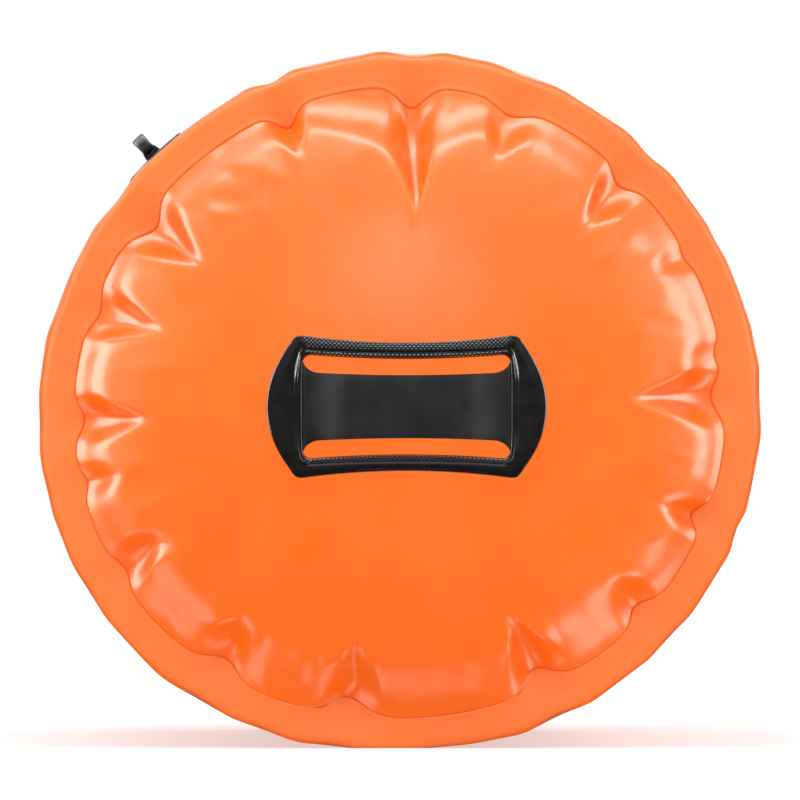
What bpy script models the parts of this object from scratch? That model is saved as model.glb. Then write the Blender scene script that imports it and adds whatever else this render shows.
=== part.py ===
"""Roll-top dry bag, lying on its side.

The bag's axis runs along Y: the base faces -Y and the rolled, buckled closure is at +Y. The wall rests
on z = 0 along a flattened strip, and the whole bag is centred on x = 0 and y = 0. Units are metres.
"""

import math

import bmesh
import bpy
from mathutils import Vector
from mathutils.geometry import tessellate_polygon

# Round wall. The section is nearly round: a mean radius with a few harmonics that make it slightly
# wider than tall, as a full bag is when it lies on its side.
MEAN_RADIUS = 0.1286
SECTION_HARMONICS = ((1, -0.0002, -0.0015), (2, 0.0019, 0.0010), (3, 0.0, -0.0011))
AXIS_HEIGHT = 0.1256
SEGMENTS = 48
FABRIC = 0.0015
GAP = 0.0003

# Lengths along Y, counted from the plane of the band where the wall is turned in over the base.
BASE_CROWN = 0.0280
SHOULDER = 0.3300
NECK_LENGTH = 0.0800
ROLL_STANDOFF = 0.0150
BASE_RIM_RADIUS = 0.1150
BASE_FLAT_RADIUS = 0.0560
BASE_CAP_RADIUS = 0.0120
FLANGE_WIDTH = 0.0045
CORNER_RADIUS = 0.0080

# Tape over the wall's lap seam.
SEAM_ANGLE = math.radians(22.5)
SEAM_HALF_WIDTH, SEAM_THICKNESS = 0.0085, 0.0008
SEAM_END_MARGIN = 0.0040

# Lash patch on the base, in the X-Z plane.
PATCH_X, PATCH_Z = 0.0022, -0.0018
PATCH_HALF_WIDTH = 0.0506
PATCH_CORNER_X, PATCH_CORNER_Z = 0.0420, 0.0258
PATCH_MIDDLE_Z = 0.0232
PATCH_THICKNESS = 0.0026
PATCH_ROUND, WINDOW_ROUND = 0.0040, 0.0030
WINDOW_HALF_X = 0.0375
WINDOW_CORNER_Z, WINDOW_MIDDLE_Z = 0.0186, 0.0172
BRIDGE_CORNER_Z, BRIDGE_MIDDLE_Z = 0.0124, 0.0114
BRIDGE_HALF_X = 0.0450
BRIDGE_THICKNESS = 0.0012
BRIDGE_LIFT = 0.0052
BRIDGE_FOOT, BRIDGE_SHOULDER = 0.0355, 0.0200
POCKET_DEPTH = 0.0010

# Lash ring on the side of the wall near the base: its clock angle and its place along the bag.
RING_ANGLE = math.radians(135)
RING_Y = 0.0420
SIDE_PATCH_HALF = (0.0130, 0.0230)
SIDE_PATCH_THICKNESS = 0.0009
SIDE_PATCH_ROUND = 0.0040
KEEPER_HALF_Y = 0.0095
KEEPER_WALL = 0.0006
KEEPER_FOOT_HALF = 0.0032
RING_BAR_HALF = 0.0010
RING_HALF_Y = 0.0130
RING_REACH = 0.0064
RING_BOW_DEPTH, RING_BOW_HALF = 0.0022, 0.00245
RING_EYE_HALF_Y = 0.0099

# Rolled mouth, bent into a loop in the X-Y plane.
FLAT_HALF_WIDTH = math.pi * MEAN_RADIUS / 2
ROLL_STRAIGHT = 0.0640
ROLL_END_STRAIGHT = 0.0180
ROLL_HALF_Z, ROLL_HALF_N = 0.0170, 0.0075
ROLL_SKIN = 0.0018
BEND_RADIUS = (FLAT_HALF_WIDTH - ROLL_STRAIGHT - ROLL_END_STRAIGHT) / math.pi
NECK_EDGE_HALF_X, NECK_EDGE_HALF_Z = 0.0860, 0.0060
HINGE_BAR_RADIUS = 0.0060
STIFFENER_THICKNESS = 0.0012
HEM_OFFSET, HEM_END_MARGIN = 0.0022, 0.0100
HEM_HALF_N, HEM_HALF_Z = 0.0019, 0.0130
SLOT_HALF_Z, STIFFENER_HALF_Z = 0.0110, 0.0105

# Webbing and side-release buckle. The buckle's middle is a little off the loop's centre line.
WEBBING_HALF_Z, WEBBING = 0.0125, 0.0016
RIVET_SHANK, RIVET_HEAD, RIVET_HEAD_HEIGHT = 0.0020, 0.0050, 0.0014
BUCKLE_X = -0.0080
BUCKLE_HALF_Z, BUCKLE_HALF_Y = 0.0170, 0.0058
CAVITY_HALF_Y = 0.0028
PRONG_PIVOT_U, PRONG_PIVOT_W = 0.0044, 0.0090
SOCKET_BAR_U, SOCKET_BAR_HALF = -0.0282, 0.0015
PLUG_BAR_U, PLUG_BAR_HALF = 0.0180, 0.0016
BAR_HALF_LENGTH = 0.0140
TAIL_TOP = 0.0126
TAIL_RAMP_U, TAIL_END_U = 0.0320, 0.0480
TAIL_HEM_LENGTH, TAIL_HEM_STEP = 0.0080, 0.0012

# Places along Y that follow from the lengths above. The last one centres the bag on y = 0.
BRIDGE_FRONT = -BASE_CROWN - GAP - BRIDGE_LIFT - BRIDGE_THICKNESS
HINGE = SHOULDER + NECK_LENGTH
ROLL = HINGE + ROLL_STANDOFF + ROLL_HALF_N
BUCKLE = ROLL + 2 * BEND_RADIUS
Y_SHIFT = -(BRIDGE_FRONT + BUCKLE + TAIL_TOP) / 2


def clear_scene():
    for obj in list(bpy.data.objects):
        bpy.data.objects.remove(obj, do_unlink=True)


def make_material(name, color, roughness, metallic=0.0):
    material = bpy.data.materials.new(name)
    material.use_nodes = True
    shader = material.node_tree.nodes["Principled BSDF"]
    shader.inputs["Base Color"].default_value = (*color, 1.0)
    shader.inputs["Roughness"].default_value = roughness
    shader.inputs["Metallic"].default_value = metallic
    return material


def add_solid(name, points, faces, material, origin=(0.0, 0.0, 0.0)):
    """A closed mesh from world points. The object's origin can be put on a joint's axis."""
    mesh = bpy.data.meshes.new(name)
    mesh.from_pydata([tuple(Vector(p) - Vector(origin)) for p in points], [], faces)
    shape = bmesh.new()
    shape.from_mesh(mesh)
    bmesh.ops.recalc_face_normals(shape, faces=shape.faces)
    shape.to_mesh(mesh)
    shape.free()
    mesh.shade_smooth()
    mesh.set_sharp_from_angle(angle=math.radians(35))
    obj = bpy.data.objects.new(name, mesh)
    obj.location = origin
    mesh.materials.append(material)
    bpy.context.scene.collection.objects.link(obj)
    return obj


def loft(name, loops, material, ring=False, origin=(0.0, 0.0, 0.0)):
    """Joins loops of equally many points. A ring joins the last to the first, otherwise both are capped."""
    count = len(loops[0])
    faces = []
    for row in range(len(loops) if ring else len(loops) - 1):
        after = (row + 1) % len(loops)
        for col in range(count):
            nxt = (col + 1) % count
            faces.append((row * count + col, row * count + nxt, after * count + nxt, after * count + col))
    if not ring:
        faces.append(tuple(range(count)))
        faces.append(tuple(range((len(loops) - 1) * count, len(loops) * count)))
    return add_solid(name, [p for loop in loops for p in loop], faces, material, origin)


def prism(name, outlines, low, high, place, material, origin=(0.0, 0.0, 0.0)):
    """Extrudes a flat outline, with any holes after it, from low to high. place maps (u, v, depth)."""
    flat = [[Vector((u, v, 0.0)) for u, v in outline] for outline in outlines]
    triangles = tessellate_polygon(flat)
    corners = [corner for outline in outlines for corner in outline]
    size = len(corners)
    points = [place(u, v, low) for u, v in corners] + [place(u, v, high) for u, v in corners]
    faces = [tuple(t) for t in triangles] + [tuple(i + size for i in t) for t in triangles]
    start = 0
    for outline in outlines:
        for i in range(len(outline)):
            a, b = start + i, start + (i + 1) % len(outline)
            faces.append((a, b, b + size, a + size))
        start += len(outline)
    return add_solid(name, points, faces, material, origin)


def hide_tool(obj):
    obj.hide_render = True
    obj.display_type = "WIRE"
    return obj


def cut(obj, tool, operation="DIFFERENCE"):
    modifier = obj.modifiers.new("cut " + tool.name, "BOOLEAN")
    modifier.operation = operation
    modifier.solver = "EXACT"
    modifier.object = hide_tool(tool)


def round_edges(obj, width):
    modifier = obj.modifiers.new("edges", "BEVEL")
    modifier.width = width
    modifier.segments = 1
    modifier.limit_method = "ANGLE"
    modifier.angle_limit = math.radians(40)


def block(name, low, high, material):
    """A box between two corners, as a prism along Z."""
    outline = [(low[0], low[1]), (high[0], low[1]), (high[0], high[1]), (low[0], high[1])]
    return prism(name, [outline], low[2], high[2], lambda u, v, w: (u, v, w), material)


def arc(center, radius, start, end, count):
    """Points along an arc, with its angles in degrees."""
    angles = [math.radians(start + (end - start) * i / count) for i in range(count + 1)]
    return [(center[0] + radius * math.cos(a), center[1] + radius * math.sin(a)) for a in angles]


def rounded_box(half_u, half_v, radius, steps=2):
    """Outline of a rectangle with round corners, counter-clockwise."""
    points = []
    corners = ((1, 1, 0), (-1, 1, 90), (-1, -1, 180), (1, -1, 270))
    for side_u, side_v, start in corners:
        center = (side_u * (half_u - radius), side_v * (half_v - radius))
        points += arc(center, radius, start, start + 90, steps)
    return points


def wall_radius(angle):
    radius = MEAN_RADIUS
    for order, cosine, sine in SECTION_HARMONICS:
        radius += cosine * math.cos(order * angle) + sine * math.sin(order * angle)
    return radius


def section(scale, inset=0.0):
    """The wall's section as (x, height over the axis), scaled about the axis and then inset."""
    points = []
    for i in range(SEGMENTS):
        angle = 2 * math.pi * i / SEGMENTS
        radius = wall_radius(angle)
        height = max(radius * math.sin(angle), -AXIS_HEIGHT)
        across = radius * math.cos(angle)
        length = math.hypot(across, height)
        keep = scale * (length - inset) / length
        points.append((across * keep, height * keep))
    return points


CENTER_X = -(max(x for x, _ in section(1)) + min(x for x, _ in section(1))) / 2


def bag_point(x, y, z):
    """World point from a point about the bag's axis, with y from the plane of the base band."""
    return (x + CENTER_X, y + Y_SHIFT, z + AXIS_HEIGHT)


def wall_loop(radius, y, inset=0.0):
    """One loop round the bag, for a nominal radius of at most MEAN_RADIUS."""
    return [bag_point(x, y, z) for x, z in section(radius / MEAN_RADIUS, inset)]


def build_body_tube(material):
    """The wall: a fabric tube whose base end is turned in as a flat band, open at both ends."""
    full = MEAN_RADIUS
    center = (full - CORNER_RADIUS, CORNER_RADIUS)
    outside = [(BASE_RIM_RADIUS, 0.0)] + arc(center, CORNER_RADIUS, -90, 0, 3) + [(full, SHOULDER)]
    inner = CORNER_RADIUS - FABRIC
    inside = [(full - FABRIC, SHOULDER)] + arc(center, inner, 0, -90, 3) + [(BASE_RIM_RADIUS, FABRIC)]
    loft("body_tube", [wall_loop(r, y) for r, y in outside + inside], material, ring=True)


def crown_profile():
    """The base's outer face from its flat middle to the rim, as (radius, y)."""
    points = [(BASE_FLAT_RADIUS, -BASE_CROWN)]
    rise = BASE_RIM_RADIUS - GAP - BASE_FLAT_RADIUS
    for angle in (28, 50, 68, 80, 90):
        a = math.radians(angle)
        points.append((BASE_FLAT_RADIUS + rise * math.sin(a), -BASE_CROWN * math.cos(a)))
    return points


def build_base_disc(material):
    """The domed base, with a flange that sits behind the turned-in band."""
    flange_low, flange_high = FABRIC + GAP, 2 * FABRIC + GAP
    flange_radius = BASE_RIM_RADIUS + FLANGE_WIDTH
    outer = [(BASE_CAP_RADIUS, -BASE_CROWN)] + crown_profile() + [(BASE_RIM_RADIUS - GAP, flange_low)]
    outer += [(flange_radius, flange_low), (flange_radius, flange_high)]
    inner = [(r - FABRIC, y + FABRIC) for r, y in reversed(crown_profile()[1:])]
    inner += [(r, -BASE_CROWN + FABRIC) for r in (BASE_FLAT_RADIUS - FABRIC, BASE_CAP_RADIUS)]
    lip = [(BASE_RIM_RADIUS - GAP - FABRIC, flange_high)]
    loft("base_disc", [wall_loop(r, y) for r, y in outer + lip + inner], material)


def build_wall_seam_strip(material):
    """The tape welded over the wall's lap seam, along the bag."""
    place = wall_frame(SEAM_ANGLE)
    half, top = SEAM_HALF_WIDTH, GAP + SEAM_THICKNESS
    outline = [(-half, GAP), (half, GAP), (half, top), (-half, top)]
    low, high = CORNER_RADIUS + SEAM_END_MARGIN, SHOULDER - SEAM_END_MARGIN
    prism("wall_seam_strip", [outline], low, high, place, material)


def wall_frame(angle):
    """Maps (along the wall's tangent, out from the wall, y) to the world, at a corner of the section."""
    step = 2 * math.pi / SEGMENTS
    here = Vector((math.cos(angle), math.sin(angle))) * wall_radius(angle)
    ends = [Vector((math.cos(a), math.sin(a))) * wall_radius(a) for a in (angle - step, angle + step)]
    tangent = (ends[0] - ends[1]).normalized()
    normal = Vector((-tangent.y, tangent.x))
    if normal.dot(here) < 0:
        normal = -normal

    def place(t, n, y):
        spot = here + tangent * t + normal * n
        return bag_point(spot.x, y, spot.y)

    return place


def hourglass(corner_x, side_x, corner_z, middle_z, radius, steps=8):
    """Outline with hollow long sides, bulging short sides and round corners, counter-clockwise."""
    quarter = []
    for i in range(steps):
        x = (corner_x - radius) * i / steps
        bend = (x / (corner_x - radius)) ** 2
        quarter.append((x, middle_z + (corner_z - middle_z) * bend))
    quarter += arc((corner_x - radius, corner_z - radius), radius, 90, 22, 4)
    shoulder = quarter[-1]
    for i in range(1, 5):
        z = shoulder[1] * (1 - i / 4)
        quarter.append((side_x - (side_x - shoulder[0]) * (z / shoulder[1]) ** 2, z))
    right = quarter[1:] + [(x, -z) for x, z in reversed(quarter[:-1])]
    left = [(-x, -z) for x, z in right]
    return list(reversed(right + left))


def patch_place(depth_offset):
    """Maps a point of the lash patch's face, and a height off the base, to the world."""

    def place(x, z, off):
        return bag_point(x + PATCH_X, -BASE_CROWN - depth_offset - off, z + PATCH_Z)

    return place


def build_lash_patch(material):
    """Hourglass frame with one window, and pockets under its sides for the bridge's ends."""
    outline = hourglass(PATCH_CORNER_X, PATCH_HALF_WIDTH, PATCH_CORNER_Z, PATCH_MIDDLE_Z, PATCH_ROUND)
    window = hourglass(WINDOW_HALF_X, WINDOW_HALF_X, WINDOW_CORNER_Z, WINDOW_MIDDLE_Z, WINDOW_ROUND)
    place = patch_place(GAP)
    patch = prism("lash_patch", [outline, window], 0.0, PATCH_THICKNESS, place, material)
    tool_low = place(-BRIDGE_HALF_X - GAP, -BRIDGE_CORNER_Z - GAP, -POCKET_DEPTH)
    tool_high = place(BRIDGE_HALF_X + GAP, BRIDGE_CORNER_Z + GAP, BRIDGE_THICKNESS + GAP)
    low = [min(a, b) for a, b in zip(tool_low, tool_high)]
    high = [max(a, b) for a, b in zip(tool_low, tool_high)]
    cut(patch, block("lash_patch_pocket_tool", low, high, material))


def bridge_height(x):
    """How far the bridge's underside stands off the base at a distance x from its middle."""
    part = min(max((BRIDGE_FOOT - abs(x)) / (BRIDGE_FOOT - BRIDGE_SHOULDER), 0.0), 1.0)
    return BRIDGE_LIFT * part * part * (3 - 2 * part)


def build_lash_bridge(material):
    """The strap across the window, bowed out so that webbing passes behind it."""
    loops = []
    count = 28
    for i in range(count + 1):
        x = BRIDGE_HALF_X * (2 * i / count - 1)
        reach = min(abs(x) / WINDOW_HALF_X, 1.0)
        half_z = BRIDGE_MIDDLE_Z + (BRIDGE_CORNER_Z - BRIDGE_MIDDLE_Z) * reach**2
        low = bridge_height(x)
        high = low + BRIDGE_THICKNESS
        place = patch_place(GAP)
        loops.append([place(x, z, off) for z, off in
                      ((-half_z, low), (half_z, low), (half_z, high), (-half_z, high))])
    loft("lash_bridge", loops, material)


def build_side_patch(material):
    """The welded patch that carries the lash ring."""
    place = wall_frame(RING_ANGLE)

    def face(t, y, n):
        return place(t, n, y)

    outline = [(t, y + RING_Y) for t, y in rounded_box(*SIDE_PATCH_HALF, SIDE_PATCH_ROUND)]
    prism("side_patch", [outline], GAP, GAP + SIDE_PATCH_THICKNESS, face, material)


def ring_bar_height():
    """Height of the ring's bar, which is its swing axis, off the wall."""
    keeper_foot = 2 * GAP + SIDE_PATCH_THICKNESS
    return keeper_foot + KEEPER_WALL + ring_clearance_radius()


def ring_clearance_radius():
    return RING_BAR_HALF * math.sqrt(2) + GAP


def build_side_keeper(material):
    """The short webbing loop that holds the ring's bar against the side patch."""
    foot = 2 * GAP + SIDE_PATCH_THICKNESS
    bar = ring_bar_height()
    outer = ring_clearance_radius() + KEEPER_WALL
    outline = [(KEEPER_FOOT_HALF, foot)] + arc((0, bar), outer, -10, 190, 10)
    outline += [(-KEEPER_FOOT_HALF, foot)]
    hole = arc((0, bar), ring_clearance_radius(), 0, 330, 11)
    place = wall_frame(RING_ANGLE)
    prism("side_keeper", [outline, hole], RING_Y - KEEPER_HALF_Y, RING_Y + KEEPER_HALF_Y, place, material)


def build_side_ring(material):
    """The low ring: a bar inside the keeper, two legs and a wider outer bow."""
    bar = ring_bar_height()
    place = wall_frame(RING_ANGLE)
    bow_low = bar + RING_REACH - RING_BOW_DEPTH

    def shape(y, n, side):
        rise = min(max((n - bar - RING_BAR_HALF) / (bow_low - bar - RING_BAR_HALF), 0.0), 1.0)
        half = RING_BAR_HALF + (RING_BOW_HALF - RING_BAR_HALF) * rise
        return place(side * half, n, y)

    low, high = bar - RING_BAR_HALF, bar + RING_REACH
    chamfer, corner = 0.001, 0.002
    outer = [(RING_HALF_Y - chamfer, low), (RING_HALF_Y, low + chamfer), (RING_HALF_Y, bow_low)]
    outer += arc((RING_HALF_Y - corner, high - corner), corner, 0, 90, 3)
    outer += [(-y, n) for y, n in reversed(outer)]
    eye_y, hole_low = RING_EYE_HALF_Y, bar + RING_BAR_HALF
    hole = [(eye_y, hole_low), (eye_y, bow_low), (-eye_y, bow_low), (-eye_y, hole_low)]
    outlines = [[(y + RING_Y, n) for y, n in outer], [(y + RING_Y, n) for y, n in hole]]
    ring = prism("side_ring", outlines, -1.0, 1.0, shape, material, place(0, bar, RING_Y))
    round_edges(ring, 0.0004)


def neck_loop(part, inset):
    """A loop of the neck, from the wall's section at part 0 to its flat edge at part 1."""
    turn = part * math.pi / 2
    wide = 1 - math.cos(turn) ** 1.3
    flat = 1 - math.cos(turn)
    half_x, half_z = NECK_EDGE_HALF_X - inset, NECK_EDGE_HALF_Z - inset
    length = NECK_LENGTH - HINGE_BAR_RADIUS - GAP - inset
    loop = []
    for (x, z) in section(1.0, inset):
        size = math.hypot(x, z)
        cosine, sine = x / size, z / size
        edge_x = half_x * math.copysign(abs(cosine) ** 0.8, cosine)
        edge_z = half_z * math.copysign(abs(sine) ** 0.5, sine)
        y = SHOULDER + GAP + (length - GAP) * (math.sin(turn) if part < 1 else 1.0)
        loop.append(bag_point(x + (edge_x - x) * wide, y, z + (edge_z - z) * flat))
    return loop


def build_neck_panel(material):
    """The wall's last stretch, drawn in from the round section to the flattened mouth; open towards it."""
    steps = (0.0, 0.2, 0.4, 0.6, 0.8, 1.0)
    outside = [neck_loop(part, 0.0) for part in reversed(steps)]
    inside = [neck_loop(part, FABRIC) for part in steps]
    loft("neck_panel", outside + inside, material)


def build_neck_fold(material):
    """The fabric between the neck and the roll. Its round edge is where the closure bends up and down."""
    half_web = 0.0030
    start = math.degrees(math.asin(half_web / HINGE_BAR_RADIUS))
    outline = arc((0, 0), HINGE_BAR_RADIUS, start, 360 - start, 14)
    outline += [(ROLL_STANDOFF - GAP, -half_web), (ROLL_STANDOFF - GAP, half_web)]

    def place(u, v, x):
        return bag_point(x - CENTER_X, HINGE + u, v)

    half_x = ROLL_STRAIGHT - 0.002
    prism("neck_fold", [outline], -half_x, half_x, place, material, place(0, 0, 0))


def roll_frame(s):
    """Point and outward normal, in the X-Y plane, at a length s along the rolled mouth."""
    side, s = math.copysign(1.0, s), abs(s)
    turned = max(s - ROLL_STRAIGHT, 0.0)
    angle = min(turned / BEND_RADIUS, math.pi)
    past = max(turned - math.pi * BEND_RADIUS, 0.0)
    x = min(s, ROLL_STRAIGHT) + BEND_RADIUS * math.sin(angle) - past
    y = ROLL + BEND_RADIUS * (1 - math.cos(angle))
    return side * x, y, side * math.sin(angle), -math.cos(angle)


def roll_point(s, outward, z):
    x, y, normal_x, normal_y = roll_frame(s)
    return bag_point(x + normal_x * outward - CENTER_X, y + normal_y * outward, z)


def roll_stations(half_length, bend_steps=7):
    """Lengths along the roll at which a strip needs a loop."""
    bend_end = min(half_length, ROLL_STRAIGHT + math.pi * BEND_RADIUS)
    bend = [ROLL_STRAIGHT + (bend_end - ROLL_STRAIGHT) * i / bend_steps for i in range(bend_steps + 1)]
    if half_length > bend_end:
        bend.append(half_length)
    return [-s for s in reversed(bend)] + bend


def build_roll_wrap(material, rivet_tools):
    """The outer turns of the rolled mouth, a hollow strip that is open at its two ends."""
    outer = rounded_box(ROLL_HALF_N, ROLL_HALF_Z, 0.0060, 3)
    inner = rounded_box(ROLL_HALF_N - ROLL_SKIN, ROLL_HALF_Z - ROLL_SKIN, 0.0042, 3)
    stations = roll_stations(FLAT_HALF_WIDTH)
    loops = [[roll_point(s, n, z) for n, z in outer] for s in stations]
    loops += [[roll_point(s, n, z) for n, z in inner] for s in reversed(stations)]
    roll = loft("roll_wrap", loops, material, ring=True)
    for tool in rivet_tools:
        cut(roll, tool)


def build_mouth_hems(fabric, plastic):
    """Two hem sleeves rolled up inside the wrap, each round its own stiffener strip."""
    stations = roll_stations(FLAT_HALF_WIDTH - ROLL_END_STRAIGHT - HEM_END_MARGIN)
    half = STIFFENER_THICKNESS / 2
    for name, middle in (("front", HEM_OFFSET), ("back", -HEM_OFFSET)):
        outer = [(middle + n, z) for n, z in rounded_box(HEM_HALF_N, HEM_HALF_Z, 0.0010, 1)]
        inner = [(middle + n, z) for n, z in rounded_box(half + GAP, SLOT_HALF_Z, 0.0003, 1)]
        loops = [[roll_point(s, n, z) for n, z in outer] for s in stations]
        loops += [[roll_point(s, n, z) for n, z in inner] for s in reversed(stations)]
        loft("mouth_hem_" + name, loops, fabric, ring=True)
        strip = [(middle + n, z) for n, z in rounded_box(half, STIFFENER_HALF_Z, 0.0002, 1)]
        strip_loops = [[roll_point(s, n, z) for n, z in strip] for s in stations]
        loft("mouth_stiffener_" + name, strip_loops, plastic)


def buckle_place(u, w, v):
    """World point from (along the buckle, across it, through it). Through points away from the bag."""
    return bag_point(BUCKLE_X + u - CENTER_X, BUCKLE + v, w)


def rivet_x(side):
    return side * (ROLL_STRAIGHT - ROLL_END_STRAIGHT / 2)


def turned_pin(name, x, profile, material):
    """A pin turned about an axis along Y, from (radius, y) points with its two ends flat."""
    sides = 16
    loops = []
    for radius, y in profile:
        loop = []
        for i in range(sides):
            a = 2 * math.pi * i / sides
            loop.append(bag_point(x - CENTER_X + radius * math.cos(a), BUCKLE + y, radius * math.sin(a)))
        loops.append(loop)
    return loft(name, loops, material)


def rivet_hole_tool(name, side, material):
    radius, reach = RIVET_SHANK + GAP, ROLL_HALF_N + RIVET_HEAD_HEIGHT
    return turned_pin(name, rivet_x(side), [(radius, -reach), (radius, reach)], material)


def build_rivet(name, side, material):
    """A through rivet with a low domed head on each face of the roll."""
    face = ROLL_HALF_N + GAP
    profile = [(RIVET_HEAD * 0.6, face + RIVET_HEAD_HEIGHT), (RIVET_HEAD, face + RIVET_HEAD_HEIGHT * 0.45)]
    profile += [(RIVET_HEAD, face), (RIVET_SHANK, face)]
    profile += [(radius, -y) for radius, y in reversed(profile)]
    turned_pin(name, rivet_x(side), profile, material)


def strap_place(u, v, w):
    """Straps are drawn in the X-Y plane about the buckle's middle and extruded across their width."""
    return bag_point(u - CENTER_X, BUCKLE + v, w)


def build_strap_left(material, rivet_tool):
    """The fixed strap: riveted in the roll's left end, looped round the bar of the buckle's socket."""
    bar_x, neck_x = BUCKLE_X + SOCKET_BAR_U, BUCKLE_X + SOCKET_BAR_U - 0.0065
    eye = SOCKET_BAR_HALF * math.sqrt(2) + 0.0004
    outer = arc((bar_x, 0), eye + WEBBING, 125, -125, 10)
    outline = outer + [(neck_x, -WEBBING), (-ROLL_STRAIGHT, -WEBBING)]
    outline += [(-ROLL_STRAIGHT, WEBBING), (neck_x, WEBBING)]
    hole = arc((bar_x, 0), eye, 0, 330, 11)
    strap = prism("strap_left", [outline, hole], -WEBBING_HALF_Z, WEBBING_HALF_Z, strap_place, material)
    cut(strap, rivet_tool)


def build_strap_right(material, rivet_tool):
    """The adjustable strap: riveted in the roll's right end, it runs flat under the buckle's plug."""
    low = -BUCKLE_HALF_Y - 2 * GAP - WEBBING
    end = ROLL_STRAIGHT - ROLL_END_STRAIGHT
    start = BUCKLE_X + 0.0105
    center = [(start, low + WEBBING / 2), (end - 0.0095, low + WEBBING / 2), (end - 0.001, 0.0)]
    center += [(ROLL_STRAIGHT, 0.0)]
    half = WEBBING / 2
    top = [(x, y + half) for x, y in center]
    bottom = [(x, y - half) for x, y in reversed(center)]
    outline = top + bottom
    strap = prism("strap_right", [outline], -WEBBING_HALF_Z, WEBBING_HALF_Z, strap_place, material)
    cut(strap, rivet_tool)


def build_strap_tail(material):
    """The strap's free tail: round the plug's bar, back over it, and out past the roll's end."""
    bar_x, ramp, far = BUCKLE_X + PLUG_BAR_U, BUCKLE_X + TAIL_RAMP_U, BUCKLE_X + TAIL_END_U
    eye = PLUG_BAR_HALF * math.sqrt(2) + GAP
    top, hem = TAIL_TOP - TAIL_HEM_STEP, far - TAIL_HEM_LENGTH
    outline = arc((bar_x, 0), eye, 90, 250, 8) + arc((bar_x, 0), eye + WEBBING, 250, 90, 8)
    outline += [(ramp, top), (hem, top), (hem, TAIL_TOP), (far, TAIL_TOP), (far, top - WEBBING)]
    outline += [(ramp + 0.0005, top - WEBBING)]
    prism("strap_tail", [outline], -WEBBING_HALF_Z, WEBBING_HALF_Z, strap_place, material)


def socket_outline():
    """Half outline of the buckle's socket, as (along, across), from its tail to its mouth."""
    return [(-0.0320, 0.0145), (-0.0305, 0.0160), (-0.0200, 0.0160), (-0.0170, BUCKLE_HALF_Z),
            (-0.0140, BUCKLE_HALF_Z), (-0.0110, 0.0147), (-0.0030, 0.0147), (0.0005, BUCKLE_HALF_Z),
            (0.0060, BUCKLE_HALF_Z)]


def mirrored(half):
    """A closed outline from its upper half."""
    return half + [(u, -w) for u, w in reversed(half)]


def build_buckle_socket(material):
    """The buckle's hollow half: a mouth, two side windows, and a bar for its strap."""
    outline = mirrored(socket_outline())
    socket = prism("buckle_socket", [outline], -BUCKLE_HALF_Y, BUCKLE_HALF_Y, buckle_place, material)
    round_edges(socket, 0.0010)
    hollows = (("mouth", (-0.0152, 0.0080), 0.0142, CAVITY_HALF_Y),
               ("window", (-0.0130, -0.0015), 0.0200, CAVITY_HALF_Y),
               ("strap_gap", (-0.0340, -0.0195), 0.0132, 0.0080))
    for name, along, half, depth in hollows:
        cut(socket, block_in_buckle("socket_" + name + "_tool", along, (-half, half), depth, material))
    cut(socket, strap_bar("socket_bar", SOCKET_BAR_U, SOCKET_BAR_HALF, material), "UNION")


def block_in_buckle(name, along, across, half_thickness, material):
    low = buckle_place(along[0], across[0], -half_thickness)
    high = buckle_place(along[1], across[1], half_thickness)
    return block(name, low, high, material)


def strap_bar(name, along, half, material):
    """The square bar that webbing passes round, across the buckle."""
    across = (-BAR_HALF_LENGTH, BAR_HALF_LENGTH)
    return block_in_buckle(name, (along - half, along + half), across, half, material)


def build_buckle_plug(material):
    """The buckle's sliding half: shoulder, strap window with its bar, and the guide tongue."""
    half = [(0.0065, 0.0165), (0.0120, 0.0165), (0.0150, 0.0155), (0.0225, 0.0155), (0.0240, 0.0140)]
    plug = prism("buckle_plug", [mirrored(half)], -0.0050, 0.0050, buckle_place, material)
    round_edges(plug, 0.0010)
    window = block_in_buckle("plug_window_tool", (0.0125, 0.0260), (-0.0131, 0.0131), 0.008, material)
    bar = strap_bar("plug_bar", PLUG_BAR_U, PLUG_BAR_HALF, material)
    tongue = block_in_buckle("plug_tongue", (-0.0135, 0.0080), (-0.0030, 0.0030), 0.0023, material)
    cut(plug, window)
    cut(plug, bar, "UNION")
    cut(plug, tongue, "UNION")


def prong_outline(side):
    """A latch prong in the buckle's plane: a round root, a slim arm and a push pad."""
    pivot = (PRONG_PIVOT_U, PRONG_PIVOT_W)
    points = [(-0.0020, 0.0108), (-0.0032, 0.0125), (-0.0044, 0.0139), (-0.0108, 0.0139), (-0.0135, 0.0112)]
    points += [(-0.0138, 0.0098), (-0.0100, 0.0092), (-0.0020, 0.0074)]
    outline = arc(pivot, 0.0018, -90, 90, 6) + points
    return [(u, side * w) for u, w in outline]


def build_prong(name, side, material):
    origin = buckle_place(PRONG_PIVOT_U, side * PRONG_PIVOT_W, 0)
    prism(name, [prong_outline(side)], -0.0023, 0.0023, buckle_place, material, origin)


def build_closure(fabric, webbing, plastic, strip, metal):
    tools = [rivet_hole_tool("rivet_hole_left_tool", -1, metal)]
    tools += [rivet_hole_tool("rivet_hole_right_tool", 1, metal)]
    build_neck_fold(fabric)
    build_roll_wrap(fabric, tools)
    build_mouth_hems(fabric, strip)
    build_strap_left(webbing, tools[0])
    build_strap_right(webbing, tools[1])
    build_strap_tail(webbing)
    build_rivet("rivet_left", -1, metal)
    build_rivet("rivet_right", 1, metal)
    build_buckle_socket(plastic)
    build_buckle_plug(plastic)
    build_prong("buckle_prong_upper", 1, plastic)
    build_prong("buckle_prong_lower", -1, plastic)


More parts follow.
